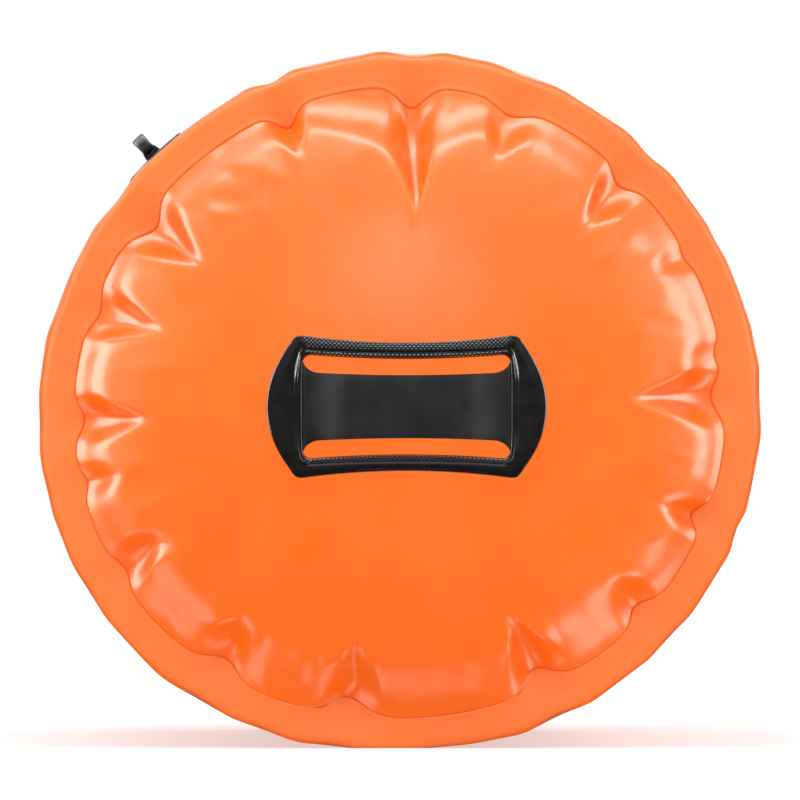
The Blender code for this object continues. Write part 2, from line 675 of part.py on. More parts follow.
def main():
    clear_scene()
    orange = make_material("coated_fabric_orange", (0.93, 0.19, 0.03), 0.42)
    rubber = make_material("welded_black_patch", (0.018, 0.016, 0.015), 0.45)
    webbing = make_material("black_webbing", (0.02, 0.02, 0.021), 0.75)
    plastic = make_material("black_buckle_plastic", (0.03, 0.03, 0.032), 0.35)
    strip = make_material("stiffener_plastic", (0.75, 0.75, 0.72), 0.5)
    metal = make_material("rivet_metal", (0.55, 0.55, 0.56), 0.3, 1.0)
    build_body_tube(orange)
    build_base_disc(orange)
    build_wall_seam_strip(orange)
    build_lash_patch(rubber)
    build_lash_bridge(rubber)
    build_side_patch(rubber)
    build_side_keeper(webbing)
    build_side_ring(plastic)
    build_neck_panel(orange)
    build_closure(orange, webbing, plastic, strip, metal)


main()
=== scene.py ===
"""Looks of the roll-top dry bag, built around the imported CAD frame. Metres, +Z up, base facing -Y."""

import math

import bmesh
import bpy
import numpy as np
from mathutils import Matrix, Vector


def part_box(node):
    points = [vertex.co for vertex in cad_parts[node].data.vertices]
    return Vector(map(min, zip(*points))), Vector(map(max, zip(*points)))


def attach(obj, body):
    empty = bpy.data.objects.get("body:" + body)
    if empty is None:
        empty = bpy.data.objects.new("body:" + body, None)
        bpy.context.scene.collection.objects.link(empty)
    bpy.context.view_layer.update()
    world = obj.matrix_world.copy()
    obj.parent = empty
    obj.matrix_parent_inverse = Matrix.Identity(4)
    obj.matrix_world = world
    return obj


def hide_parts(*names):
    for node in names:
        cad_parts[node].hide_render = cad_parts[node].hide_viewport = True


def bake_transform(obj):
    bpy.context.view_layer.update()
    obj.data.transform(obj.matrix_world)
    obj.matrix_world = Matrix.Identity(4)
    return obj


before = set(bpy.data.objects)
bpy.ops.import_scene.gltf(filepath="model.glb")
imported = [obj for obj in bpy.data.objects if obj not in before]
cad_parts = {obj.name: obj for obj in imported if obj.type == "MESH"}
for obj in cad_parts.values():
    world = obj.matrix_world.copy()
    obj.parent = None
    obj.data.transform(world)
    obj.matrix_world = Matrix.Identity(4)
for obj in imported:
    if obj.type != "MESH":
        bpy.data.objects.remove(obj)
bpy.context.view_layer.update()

# Places read from the frame.
TUBE_LOW, TUBE_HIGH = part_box("body_tube")
DISC_LOW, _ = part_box("base_disc")
PATCH_LOW, PATCH_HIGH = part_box("lash_patch")
SIDE_LOW, SIDE_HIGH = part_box("side_patch")
ROLL_LOW, ROLL_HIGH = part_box("roll_wrap")
SOCKET_LOW, SOCKET_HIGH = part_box("buckle_socket")
BAND_Y = TUBE_LOW.y
SHOULDER_Y = TUBE_HIGH.y
CROWN = BAND_Y - DISC_LOW.y
AXIS_Z = (ROLL_LOW.z + ROLL_HIGH.z) / 2
MEAN_RADIUS = 0.1286

# Base: the seam, the flat band outside it, the round corner to the wall.
SEAM_RADIUS = 0.1165
CROWN_RADIUS = 0.1195
EDGE_WIDTH = 0.0066
SEAM_PROUD = 0.0003
LAP_STEP = 0.0003
CORNER_RADIUS = 0.0030
SINK_SHARE = 0.40
DENT_SHARE, HOLLOW_POWER = 0.04, 0.35
STIFF_RADIUS = 0.0500
FABRIC = 0.0006
TAPE_ANGLE, TAPE_HEIGHT, TAPE_HALF_WIDTH = 22.5, 0.00085, 0.0085
WALL_CORNERS = 48

# Fabric grid, and the stretch of wall that is shaped together with the base.
AROUND = 384
BAND_ROWS = 14
RING_STEP = 0.0018
SIM_WALL = 0.075
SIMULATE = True
PRESSURE, FRAMES, BENDING = 5.0, 16, 0.5
SIM_SHARE = 0.7

# Gathers of the base. Directions are clock angles in degrees, 0 towards +X and 90 up: at the seam and at
# the apex. Then the half width at the seam (degrees), how far the seam is pulled in (mm), the reach from
# the seam to the apex (mm), the height of the small ridge down its middle (mm), and its share of depth.
GATHERS = (
    (1.0, 1.0, 6.3, 5.5, 19.0, 0.6, 1.0),
    (8.5, 8.5, 3.8, 2.6, 3.0, 0.0, 0.7),
    (27.0, 27.5, 3.5, 1.5, 5.5, 0.0, 0.6),
    (44.8, 43.2, 5.0, 4.6, 16.0, 0.5, 0.8),
    (69.0, 68.5, 6.0, 4.2, 10.5, 0.4, 0.9),
    (87.8, 85.0, 5.6, 8.2, 35.0, 1.5, 1.0),
    (90.0, 88.0, 21.0, 0.0, 25.0, 0.0, 0.8),
    (112.0, 112.0, 4.2, 7.2, 2.5, 0.0, 0.6),
    (144.5, 145.5, 6.0, 6.2, 17.5, 0.6, 0.8),
    (163.5, 163.5, 5.2, 3.0, 18.0, 0.8, 0.9),
    (183.3, 184.0, 4.8, 4.0, 14.5, 0.8, 1.0),
    (194.5, 194.5, 3.6, 2.5, 8.0, 0.3, 0.5),
    (211.5, 208.6, 5.0, 3.2, 20.0, 0.5, 0.6),
    (236.0, 233.5, 6.5, 5.6, 11.5, 0.6, 0.9),
    (260.0, 259.5, 7.5, 6.6, 13.0, 1.0, 1.0),
    (296.6, 297.6, 6.2, 7.6, 14.5, 1.0, 1.0),
    (319.0, 321.0, 5.0, 4.7, 8.0, 0.4, 0.8),
    (339.0, 338.0, 3.6, 5.6, 5.0, 0.3, 0.7),
)

# Long soft ridges further in: clock angles of the outer and inner end, distances in from the seam of those
# ends (mm), half width (degrees) and height (mm).
SOFT_RIDGES = (
    (36.5, 34.5, 6, 30, 2.6, 0.55),
    (135.5, 134.5, 12, 26, 2.2, 0.45),
    (151.0, 153.0, 8, 32, 2.4, 0.45),
    (173.0, 171.0, 12, 44, 1.9, 0.60),
    (193.0, 194.0, 8, 30, 2.4, 0.40),
    (202.0, 203.8, 12, 34, 2.4, 0.55),
    (255.5, 258.0, -4, 18, 3.0, 2.20),
    (292.5, 295.5, -4, 20, 3.0, 2.20),
    (303.0, 309.0, 22, 46, 2.4, 0.50),
    (324.0, 327.0, 8, 24, 2.6, 0.40),
    (344.0, 347.0, 1, 12, 1.4, 0.40),
)

# How wide the rim's slope is between gathers, as a share of EDGE_WIDTH, by clock angle.
RIM_ANGLES = (0, 30, 60, 80, 100, 125, 150, 172, 200, 225, 250, 275, 290, 310, 330, 348)
RIM_SHARES = (1.0, 1.3, 1.4, 0.9, 0.8, 1.2, 0.8, 0.9, 1.1, 1.9, 2.3, 2.8, 2.2, 2.0, 1.3, 0.9)

# Neck: the fabric's end on the roll, and how far it runs straight at either end.
NECK_REACH = 0.1240
NECK_HALF_GAP = 0.0012
NECK_SINK = 0.0007
NECK_START_PULL, NECK_END_PULL = 0.068, 0.040

# Rolled mouth, a strip bent into a loop in the X-Y plane.
ROLL_HALF_Z = (ROLL_HIGH.z - ROLL_LOW.z) / 2
ROLL_HALF_N = 0.0075
ROLL_Y = ROLL_LOW.y + ROLL_HALF_N
BEND_RADIUS = (ROLL_HIGH.y - ROLL_LOW.y - 2 * ROLL_HALF_N) / 2
ROLL_STRAIGHT = ROLL_HIGH.x - BEND_RADIUS - ROLL_HALF_N
ROLL_END = 0.0180
ROLL_HALF_LENGTH = ROLL_STRAIGHT + math.pi * BEND_RADIUS + ROLL_END
BUCKLE_Y = ROLL_Y + 2 * BEND_RADIUS
ROLL_TURNS, ROLL_PITCH, ROLL_LAYER, ROLL_CORNER = 3, 0.0009, 0.0005, 0.0055

# Side fitting: its direction round the wall, its middle, half sizes, and the ring's bar over the wall.
SIDE_DEGREES = 135
SIDE_ANGLE = math.radians(SIDE_DEGREES)
SIDE_Y = (SIDE_LOW.y + SIDE_HIGH.y) / 2
SIDE_HALF_T, SIDE_HALF_Y = 0.0130, (SIDE_HIGH.y - SIDE_LOW.y) / 2
RING_BAR = 0.0038
KEEPER_HALF_Y = 0.0095

# Lash patch: half sizes of its window and outline at the corners, the sides and the middle of the bars.
PATCH_X = (PATCH_LOW.x + PATCH_HIGH.x) / 2
PATCH_Z = (PATCH_LOW.z + PATCH_HIGH.z) / 2
PATCH_Y = PATCH_HIGH.y
WINDOW_X, WINDOW_Z, WINDOW_MIDDLE = 0.0375, 0.0186, 0.0172
OUTLINE_X, OUTLINE_SIDE, OUTLINE_Z, OUTLINE_MIDDLE = 0.0420, 0.0506, 0.0258, 0.0232
BRIDGE_TOP = 0.0052
BRIDGE_FOOT, BRIDGE_FLAT = 0.0355, 0.0200
KNURL_PITCH, KNURL_HEIGHT = 0.00155, 0.34

# Webbing and thread.
WEBBING, WEBBING_HALF = 0.0016, 0.0125
WEBBING_STEP = 0.0011
THREAD_RADIUS = 0.00028

# Colors, linear. Dark and light ends of the mottling where there are two.
ORANGE = (0.86, 0.130, 0.0035)
# The band's copy of the orange cloth is paler: a painted highlight for the light its rolled edge catches.
BAND_ORANGE_PAINTED_LIGHT = (0.88, 0.176, 0.034)
RUBBER = ((0.0030, 0.0022, 0.0018), (0.0060, 0.0048, 0.0042))
STRAP_GRAY = ((0.0070, 0.0064, 0.0066), (0.0130, 0.0120, 0.0124))
NYLON = ((0.009, 0.009, 0.010), (0.022, 0.022, 0.024))
NICKEL = ((0.42, 0.41, 0.39), (0.62, 0.61, 0.59))
BUCKLE_BLACK, RING_BLACK, STIFFENER_WHITE = (0.012, 0.012, 0.013), (0.006, 0.006, 0.006), (0.60, 0.60, 0.57)
WEAVE_PITCH = 0.0009

# Studio. SKY is what reflects: radiance against height, from straight down over the horizon (0.5) to the top.
FLOOR_RADIUS = 4.0
FLOOR_ALBEDO, FLOOR_GLOW = 0.45, 0.52
SKY = ((0.0, 0.10), (0.50, 0.14), (0.70, 1.60), (1.0, 1.60))
SKY_FILL = 1.30
CAMERA_PLACE, CAMERA_LENS = (0, -6.245, 0.1262), 745

SEED = 20
CREASE_COUNT, CRUMPLE_COUNT = 34, 70

rng = np.random.default_rng(SEED)


def wall_radii():
    """Directions and radii of the wall's corners, read from the outer edge of the CAD wall's far end."""
    ring = [v.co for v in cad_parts["body_tube"].data.vertices if v.co.y > SHOULDER_Y - 0.0001]
    outer = {}
    for c in ring:
        angle, radius = math.atan2(c.z - AXIS_Z, c.x) % math.tau, math.hypot(c.x, c.z - AXIS_Z)
        key = round(angle / math.tau * WALL_CORNERS) % WALL_CORNERS
        if radius > outer.get(key, (0, 0))[1]:
            outer[key] = (angle, radius)
    corners = sorted(outer.values())
    return np.array([a for a, _ in corners]), np.array([r for _, r in corners])


SECTION_ANGLES, SECTION_RADII = wall_radii()
THETA = np.arange(AROUND) * math.tau / AROUND
SECTION = np.interp(THETA, SECTION_ANGLES, SECTION_RADII, period=math.tau)
SECTION = np.mean([np.roll(SECTION, shift) for shift in range(-6, 7)], axis=0)


def turned(theta, degrees):
    """Angle from a clock direction to theta, in degrees, from -180 to 180."""
    return (np.degrees(theta) - degrees + 180) % 360 - 180


def bell(x):
    return np.exp(-x * x)


def smoothstep(x, low, high):
    t = np.clip((x - low) / (high - low), 0, 1)
    return t * t * (3 - 2 * t)


# Base panel and wall


def crown_height(radius):
    s = np.clip(radius / CROWN_RADIUS, 0, 1)
    return (CROWN - SEAM_PROUD) * (1 - s**2.5) ** 0.72


def pull_at(degrees, half, pull):
    """How far one gather pulls the seam in, at each grid direction."""
    return pull / 1000 * bell(turned(THETA, degrees) / (0.62 * half))


def seam_dip():
    return sum(pull_at(seam, half, pull) for seam, _, half, pull, _, _, _ in GATHERS)


def smooth_limit(t, sharpness):
    """t where it is well under 1, and 1 where it is well over, with a rounded knee."""
    return -np.log(np.exp(-sharpness * t) + np.exp(-sharpness)) / sharpness


def base_height(radius, inward):
    """Height of the base over the band, for nominal radii and distances in from the seam (rows, AROUND)."""
    theta = THETA[None, :]
    rim = EDGE_WIDTH * np.interp(np.degrees(THETA), RIM_ANGLES, RIM_SHARES, period=360)[None, :]
    rim = np.broadcast_to(rim, inward.shape)
    reach = rim.copy()
    ridge, hollow, deepest = np.zeros(inward.shape), np.zeros(inward.shape), np.zeros(inward.shape)
    for seam, apex, half, pull, length, height, depth in GATHERS:
        length = length / 1000
        along = np.clip(inward / length, 0, 1)
        x = np.abs(turned(theta, seam + (apex - seam) * along)) / half
        own = length * depth * np.clip(1 - x**1.25, 0, 1)
        ridge -= SINK_SHARE * pull / 1000 * bell(x / 0.62) * (1 - along) ** 1.3
        reach = np.maximum(reach, own + np.where(own > 0, EDGE_WIDTH, 0))
        deepest = np.maximum(deepest, own)
        hollow = np.maximum(hollow, depth * bell(x / 0.6))
        ridge -= DENT_SHARE * length * depth * bell(x / 0.5) * np.sin(math.pi * along**0.8)
        ridge += height / 1000 * bell(x / 0.16) * np.sin(math.pi * along) ** 0.7
    for outer, inner, start, end, half, height in SOFT_RIDGES + tuple(CRUMPLES):
        along = np.clip((inward * 1000 - start) / (end - start), 0, 1)
        x = turned(theta, outer + (inner - outer) * along) / half
        ridge += height / 1000 * bell(x) * np.sin(math.pi * along)
    sharpness = 4.0 + 12.0 * smoothstep(deepest / EDGE_WIDTH, 0.0, 1.0)
    rise = smooth_limit(inward / reach, sharpness) - smooth_limit(0, sharpness)
    rise += (1 - rise) * smoothstep(inward / reach, 1.2, 3.0)
    rise = np.clip(rise, 0, None) ** (1 + HOLLOW_POWER * hollow)
    return crown_height(radius) * rise + ridge


def disc_rows():
    """Shares of the seam's radius at which the base has a ring of points, from near the middle out."""
    inner = np.linspace(0.03, STIFF_RADIUS / SEAM_RADIUS, 9)
    count = round((SEAM_RADIUS - STIFF_RADIUS) / RING_STEP)
    outer = np.linspace(STIFF_RADIUS / SEAM_RADIUS, 1.0, count + 1)[1:]
    return np.concatenate([inner, outer])


def to_world(radius, y):
    """Grid points from radii and y values. The underside stays flat on the ground."""
    z = np.maximum(radius * np.sin(THETA), -AXIS_Z) + AXIS_Z
    return np.stack([radius * np.cos(THETA), np.broadcast_to(y, radius.shape), z], axis=-1)


def base_grid():
    share = disc_rows()[:, None]
    seam = SEAM_RADIUS - seam_dip()[None, :]
    radius = share * seam
    height = base_height(radius, seam - radius)
    return to_world(radius / MEAN_RADIUS * SECTION, BAND_Y - SEAM_PROUD - height)


def wall_creases(y):
    """Soft lengthwise creases of the wall, as a height at each direction, y from the band plane."""
    height = np.zeros(AROUND)
    for seam, _, half, pull, _, _, _ in GATHERS:
        fade = math.exp(-((y / 0.055) ** 2))
        height -= 0.16 * pull / 1000 * fade * bell(turned(THETA, seam) / (0.5 * half))
        for side in (-1, 1):
            height += 0.12 * pull / 1000 * fade * bell(turned(THETA, seam + side * half) / (0.5 * half))
    for start, drift, half, amount, middle, spread in WALL_CREASES:
        place = start + drift * (y - middle)
        height += amount * bell(turned(THETA, place) / half) * math.exp(-(((y - middle) / spread) ** 2))
    beside_patch = bell(turned(THETA, SIDE_DEGREES) / 11) * math.exp(-(((y - 0.042) / 0.045) ** 4))
    return height * (1 - beside_patch)


def make_creases(count):
    """(clock angle, drift per metre, half width, height, middle, spread) of creases along the wall."""
    creases = []
    for i in range(count):
        amount = rng.uniform(0.0008, 0.0021) * rng.choice([-1, 1])
        creases.append((rng.uniform(0, 360), rng.uniform(-90, 90), rng.uniform(1.6, 6), amount,
                        rng.uniform(0.05, 0.33), rng.uniform(0.04, 0.12)))
    return creases


WALL_CREASES = make_creases(CREASE_COUNT)


def make_crumples(count):
    """Small random ridges and hollows near the rim, in the form of SOFT_RIDGES."""
    crumples = []
    for _ in range(count):
        angle, start = rng.uniform(0, 360), rng.uniform(-4, 14)
        crumples.append((angle, angle + rng.uniform(-7, 7), start, start + rng.uniform(8, 24),
                         rng.uniform(0.9, 3.0), rng.uniform(0.25, 0.70) * rng.choice([-1, 1])))
    return crumples


CRUMPLES = make_crumples(CRUMPLE_COUNT)


def band_grid(band_rows=BAND_ROWS, corner_rows=6, wall_rows=20):
    """The band, its round corner and the first stretch of the wall, from the seam out."""
    dip = seam_dip()
    seam, edge = SEAM_RADIUS - dip, MEAN_RADIUS - CORNER_RADIUS
    crease = wall_creases(0.0)
    radii, ys = [], []
    for i in range(band_rows):
        part = i / band_rows
        radii.append(seam + (edge - seam) * part)
        sink = SINK_SHARE * dip * (1 - part) ** 1.2
        groove = 0.00008 * bell((part - 0.66) / 0.07)
        ys.append(BAND_Y - SEAM_PROUD * (1 - part) + sink + groove)
    for i in range(corner_rows + 1):
        a = math.pi / 2 * i / corner_rows
        radii.append(edge + CORNER_RADIUS * math.sin(a) + crease * math.sin(a) ** 2)
        ys.append(np.full(AROUND, BAND_Y + CORNER_RADIUS * (1 - math.cos(a))))
    for i in range(1, wall_rows + 1):
        y = CORNER_RADIUS + (SIM_WALL - CORNER_RADIUS) * (i / wall_rows) ** 1.2
        radii.append(MEAN_RADIUS + wall_creases(y))
        ys.append(np.full(AROUND, BAND_Y + y))
    return to_world(np.array(radii) / MEAN_RADIUS * SECTION, np.array(ys))


def far_wall_grid(step=0.0055):
    """The rest of the wall up to the shoulder, without its first ring."""
    length = SHOULDER_Y - BAND_Y
    count = round((length - SIM_WALL) / step)
    ys = np.linspace(SIM_WALL, length, count + 1)[1:]
    radii = np.array([MEAN_RADIUS + wall_creases(y) for y in ys])
    return to_world(radii / MEAN_RADIUS * SECTION, BAND_Y + ys[:, None])


def roll_frame(s):
    """Middle point and outward normal of the roll, in the X-Y plane, at lengths s along it."""
    side, s = np.sign(s), np.abs(s)
    angle = np.clip((s - ROLL_STRAIGHT) / BEND_RADIUS, 0, math.pi)
    past = np.maximum(s - ROLL_STRAIGHT - math.pi * BEND_RADIUS, 0)
    x = np.minimum(s, ROLL_STRAIGHT) + BEND_RADIUS * np.sin(angle) - past
    y = ROLL_Y + BEND_RADIUS * (1 - np.cos(angle))
    return side * x, y, side * np.sin(angle), -np.cos(angle)


def roll_points(s, outward, z):
    x, y, normal_x, normal_y = roll_frame(np.asarray(s, float))
    return np.stack(np.broadcast_arrays(x + normal_x * outward, y + normal_y * outward, AXIS_Z + z), -1)


def grid_normals(grid):
    """Outward unit normals of a grid of rows along the bag and columns round it."""
    along = np.gradient(grid, axis=0)
    across = np.roll(grid, -1, axis=1) - np.roll(grid, 1, axis=1)
    normal = np.cross(along, across)
    return normal / np.maximum(np.linalg.norm(normal, axis=2, keepdims=True), 1e-9)


def neck_folds(rows, count=26):
    """Folds that fan out from the roll, as heights (rows, AROUND)."""
    part = np.linspace(0, 1, rows)[:, None]
    theta = np.broadcast_to(THETA, (rows, AROUND))
    height = np.zeros((rows, AROUND))
    for i in range(count):
        place = 360 * (i + rng.uniform(-0.35, 0.35)) / count
        half = rng.uniform(2.2, 4.6)
        start = rng.uniform(0.05, 0.45)
        reach = smoothstep(part, start, start + 0.45) * (1 - 0.75 * smoothstep(part, 0.88, 1.0))
        x = turned(theta, place + rng.uniform(-6, 6) * (1 - part)) / half
        height += rng.uniform(0.0016, 0.0042) * reach * (bell(x) - 0.6 * bell(np.abs(x) - 1.7))
    return height


def neck_grid(start, pull, rows=40):
    """The neck from the shoulder to the roll: start is the shoulder's ring, pull its direction."""
    s = NECK_REACH * np.cos(THETA)
    gap = NECK_HALF_GAP * np.sign(np.sin(THETA)) * np.abs(np.sin(THETA)) ** 0.3
    end = roll_points(s, ROLL_HALF_N - NECK_SINK, gap)
    first = start + pull * NECK_START_PULL
    last = end - np.array([0, NECK_END_PULL, 0])
    t = np.linspace(0, 1, rows + 1)[1:, None, None]
    grid = start * (1 - t)**3 + 3 * first * t * (1 - t)**2 + 3 * last * t**2 * (1 - t) + end * t**3
    return grid + grid_normals(grid) * neck_folds(rows)[..., None]


def grid_faces(rows, cols, closed=True, first=0):
    row, col = np.meshgrid(np.arange(rows - 1), np.arange(cols if closed else cols - 1), indexing="ij")
    nxt = (col + 1) % cols
    quads = np.stack([row * cols + col, (row + 1) * cols + col, (row + 1) * cols + nxt, row * cols + nxt], -1)
    return quads.reshape(-1, 4) + first


def mesh_object(name, points, faces, material=None):
    mesh = bpy.data.meshes.new(name)
    faces = [list(map(int, face)) for face in faces]
    mesh.from_pydata(np.asarray(points, float).reshape(-1, 3).tolist(), [], faces)
    mesh.update()
    mesh.shade_smooth()
    if material:
        mesh.materials.append(material)
    obj = bpy.data.objects.new(name, mesh)
    bpy.context.scene.collection.objects.link(obj)
    return obj


def apply_modifiers(obj):
    """Bakes the modifiers into the mesh."""
    bpy.context.view_layer.update()
    shaped = obj.evaluated_get(bpy.context.evaluated_depsgraph_get())
    mesh = bpy.data.meshes.new_from_object(shaped)
    obj.modifiers.clear()
    obj.data = mesh


def thicken(obj):
    """Gives a sheet the fabric's thickness, inward from its outer face."""
    solid = obj.modifiers.new("thickness", "SOLIDIFY")
    solid.thickness, solid.offset = FABRIC, -1
    apply_modifiers(obj)


def set_uv(obj, uv):
    """Writes one UV per point, in metres along the cloth, which the weave follows."""
    layer = obj.data.uv_layers.new(name="cloth")
    index = np.empty(len(obj.data.loops), int)
    obj.data.loops.foreach_get("vertex_index", index)
    layer.uv.foreach_set("vector", np.asarray(uv, float).reshape(-1, 2)[index].ravel())


def inflate(obj, rest, pins):
    """Lets air pressure shape a grid of fabric cut to the rest points, and returns its points."""
    obj.shape_key_add(name="Basis")
    cut = obj.shape_key_add(name="cut")
    cut.data.foreach_set("co", rest.ravel())
    group = obj.vertex_groups.new(name="held")
    for index in np.nonzero(pins > 0)[0]:
        group.add([int(index)], float(pins[index]), "REPLACE")
    modifier = obj.modifiers.new("cloth", "CLOTH")
    cloth = modifier.settings
    cloth.quality = 8
    cloth.mass = 0.25
    cloth.rest_shape_key = cut
    cloth.tension_stiffness = cloth.compression_stiffness = 60
    cloth.shear_stiffness = 20
    cloth.bending_stiffness = BENDING
    cloth.tension_damping = cloth.compression_damping = cloth.shear_damping = 15
    cloth.air_damping = 3
    cloth.use_pressure = True
    cloth.uniform_pressure_force = PRESSURE
    cloth.vertex_group_mass = group.name
    cloth.effector_weights.gravity = 0
    modifier.collision_settings.use_collision = False
    modifier.point_cache.frame_start, modifier.point_cache.frame_end = 1, FRAMES
    scene = bpy.context.scene
    for number in range(1, FRAMES + 1):
        scene.frame_set(number)
    shaped = obj.evaluated_get(bpy.context.evaluated_depsgraph_get())
    points = np.empty(len(obj.data.vertices) * 3)
    shaped.data.vertices.foreach_get("co", points)
    scene.frame_set(1)
    return points.reshape(-1, 3)


def cut_lengths(grid):
    """Length along the cloth from the middle of the base to each ring."""
    step = np.median(np.linalg.norm(np.diff(grid, axis=0), axis=2), axis=1)
    first = np.linalg.norm(grid[0] - grid[0].mean(axis=0), axis=1).mean()
    return np.concatenate([[first], first + np.cumsum(step)])


def cut_shape(rows, seam):
    """The cloth before it is blown up: a flat disc, then a band and tube of the wall's radius."""
    length = cut_lengths(rows)
    turn_in = 0.012
    radius, y = length.copy(), np.zeros(len(rows))
    for i in range(seam + 1, len(rows)):
        out = min((length[i] - length[seam]) / turn_in, 1)
        radius[i] = length[seam] + (MEAN_RADIUS - length[seam]) * out
        run = length[i] - length[i - 1]
        y[i] = y[i - 1] + math.sqrt(max(run**2 - (radius[i] - radius[i - 1]) ** 2, 0))
    scale = SECTION / MEAN_RADIUS
    return np.stack([radius[:, None] * scale * np.cos(THETA), np.broadcast_to(y[:, None], rows.shape[:2]),
                     radius[:, None] * scale * np.sin(THETA)], axis=-1)


def hold_weights(rows, seam):
    """How firmly each point is held: the middle under the patch, the seam, the far wall, the side patch."""
    nominal = np.linalg.norm(rows[:, 0, [0, 2]] - [0, AXIS_Z], axis=1)
    hold = np.zeros(len(rows))
    hold[:seam] = np.clip((STIFF_RADIUS + 0.012 - nominal[:seam]) / 0.012, 0, 1)
    hold[seam - 1:seam + 14] = 0.35
    hold[seam + 14:] = np.clip((rows[seam + 14:, 0, 1] - BAND_Y - 0.045) / 0.02, 0, 1)
    hold = np.repeat(hold[:, None], AROUND, axis=1)
    beside = (np.abs(turned(THETA, SIDE_DEGREES)) < 9)[None, :] & (np.arange(len(rows)) > seam + 20)[:, None]
    hold[beside] = 1
    return hold


def relax(disc, band):
    """Blows up the base and the near wall as cloth, and keeps part of what that changes."""
    rows = np.concatenate([disc, band[1:]])
    seam = len(disc) - 1
    obj = mesh_object("draft", rows, grid_faces(len(rows), AROUND))
    hold = hold_weights(rows, seam)
    points = inflate(obj, cut_shape(rows, seam), hold.ravel())
    bpy.data.objects.remove(obj)
    change = points.reshape(rows.shape) - rows
    nominal = np.linalg.norm(rows[:, 0, [0, 2]] - [0, AXIS_Z], axis=1)
    share = np.full(len(rows), SIM_SHARE)
    share[:seam] *= smoothstep(nominal[:seam], STIFF_RADIUS + 0.004, STIFF_RADIUS + 0.026)
    grid = rows + change * share[:, None, None]
    grid[..., 2] = np.maximum(grid[..., 2], 0)
    return grid[:seam + 1], grid[seam:]


def make_base(disc, material):
    """The base panel. Its rim runs on a little behind the band that is welded over it."""
    hidden = disc[-1] + (disc[-1] - disc[-2]) * [0.8, 0, 0.8] + [0, LAP_STEP + FABRIC, 0]
    grid = np.concatenate([disc, hidden[None]])
    middle = grid[0].mean(axis=0)
    points = np.concatenate([grid.reshape(-1, 3), middle[None]])
    cap = [(i, len(points) - 1, (i + 1) % AROUND) for i in range(AROUND)]
    faces = [tuple(f) for f in grid_faces(len(grid), AROUND)] + cap
    base = mesh_object("base_panel", points, faces, material)
    set_uv(base, points[:, [0, 2]])
    thicken(base)
    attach(base, "bag")
    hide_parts("base_disc")
    return base


def make_wall(band, material, band_painted_highlight_material):
    """The wall and neck in one piece: band, corner, tube, and the fabric that runs into the roll."""
    band = band.copy()
    lap = np.array([1.0, 1.0, 0.5])[:, None] * LAP_STEP
    band[:3, :, 1] -= lap
    far = far_wall_grid()
    tube = np.concatenate([band, far])
    neck = neck_grid(tube[-1], np.array([0, 1.0, 0]))
    grid = np.concatenate([tube, neck])
    along = cut_lengths(grid) - cut_lengths(grid)[0]
    wall = mesh_object("bag_wall", grid, grid_faces(len(grid), AROUND), material)
    wall.data.materials.append(band_painted_highlight_material)
    # The band's faces take the paler copy of the fabric, a painted highlight.
    welded = np.repeat(np.arange(len(grid) - 1) < BAND_ROWS + 3, AROUND).astype(np.int32)
    wall.data.polygons.foreach_set("material_index", welded)
    around = np.broadcast_to(THETA * MEAN_RADIUS, grid.shape[:2])
    set_uv(wall, np.stack([around, np.broadcast_to(along[:, None], grid.shape[:2])], -1))
    thicken(wall)
    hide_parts("body_tube", "neck_panel", "neck_fold")
    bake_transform(wall)
    return tube


# Pieces built from loops


def loft(name, loops, material, body, closed=False, sharp=40):
    """A solid from loops of equally many points: capped at both ends, or closed into a ring."""
    loops = np.asarray(loops, float)
    rows, cols = loops.shape[:2]
    faces = [tuple(f) for f in grid_faces(rows, cols)]
    if closed:
        last = (rows - 1) * cols
        faces += [(last + i, last + (i + 1) % cols, (i + 1) % cols, i) for i in range(cols)]
    else:
        faces += [tuple(range(cols))[::-1], tuple(range((rows - 1) * cols, rows * cols))]
    obj = mesh_object(name, loops, faces, material)
    return finish_piece(obj, body, sharp)


def finish_piece(obj, body, sharp=40):
    shape = bmesh.new()
    shape.from_mesh(obj.data)
    bmesh.ops.recalc_face_normals(shape, faces=shape.faces)
    shape.to_mesh(obj.data)
    shape.free()
    obj.data.shade_smooth()
    obj.data.set_sharp_from_angle(angle=math.radians(sharp))
    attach(obj, body)
    return obj


def rounded_outline(half_u, half_v, radius, share):
    """Point at a share of the way round a rounded rectangle, starting at (+half_u, 0) and going up."""
    straight_u, straight_v, bend = 2 * (half_u - radius), 2 * (half_v - radius), math.pi / 2 * radius
    lengths = (straight_v / 2, bend, straight_u, bend, straight_v, bend, straight_u, bend, straight_v / 2)
    left = (share % 1.0) * sum(lengths)
    u, v, heading = half_u, 0.0, math.pi / 2
    for i, length in enumerate(lengths):
        step = min(left, length)
        if i % 2 == 0:
            u, v = u + step * math.cos(heading), v + step * math.sin(heading)
        else:
            middle_u, middle_v = u - radius * math.sin(heading), v + radius * math.cos(heading)
            heading += step / radius
            u, v = middle_u + radius * math.sin(heading), middle_v - radius * math.cos(heading)
        left -= step
        if left <= 0:
            break
    return u, v


def spiral_line(inset, per_turn=44):
    """Points of the rolled fabric's section, from the face towards the bag inwards."""
    points = []
    for i in range(ROLL_TURNS * per_turn + 1):
        turn = i / per_turn
        shrink = ROLL_PITCH * turn + inset
        half_n, half_z = ROLL_HALF_N - shrink, ROLL_HALF_Z - shrink
        points.append(rounded_outline(half_n, half_z, ROLL_CORNER - 0.5 * shrink, turn))
    return np.array(points)


def roll_stations():
    """Lengths along the roll at which its section is set, closest in the bends."""
    bend_end = ROLL_HALF_LENGTH - ROLL_END
    half = np.concatenate([np.linspace(0, ROLL_STRAIGHT, 17), np.linspace(ROLL_STRAIGHT, bend_end, 61)[1:],
                           np.linspace(bend_end, ROLL_HALF_LENGTH, 7)[1:]])
    return np.concatenate([-half[:0:-1], half])


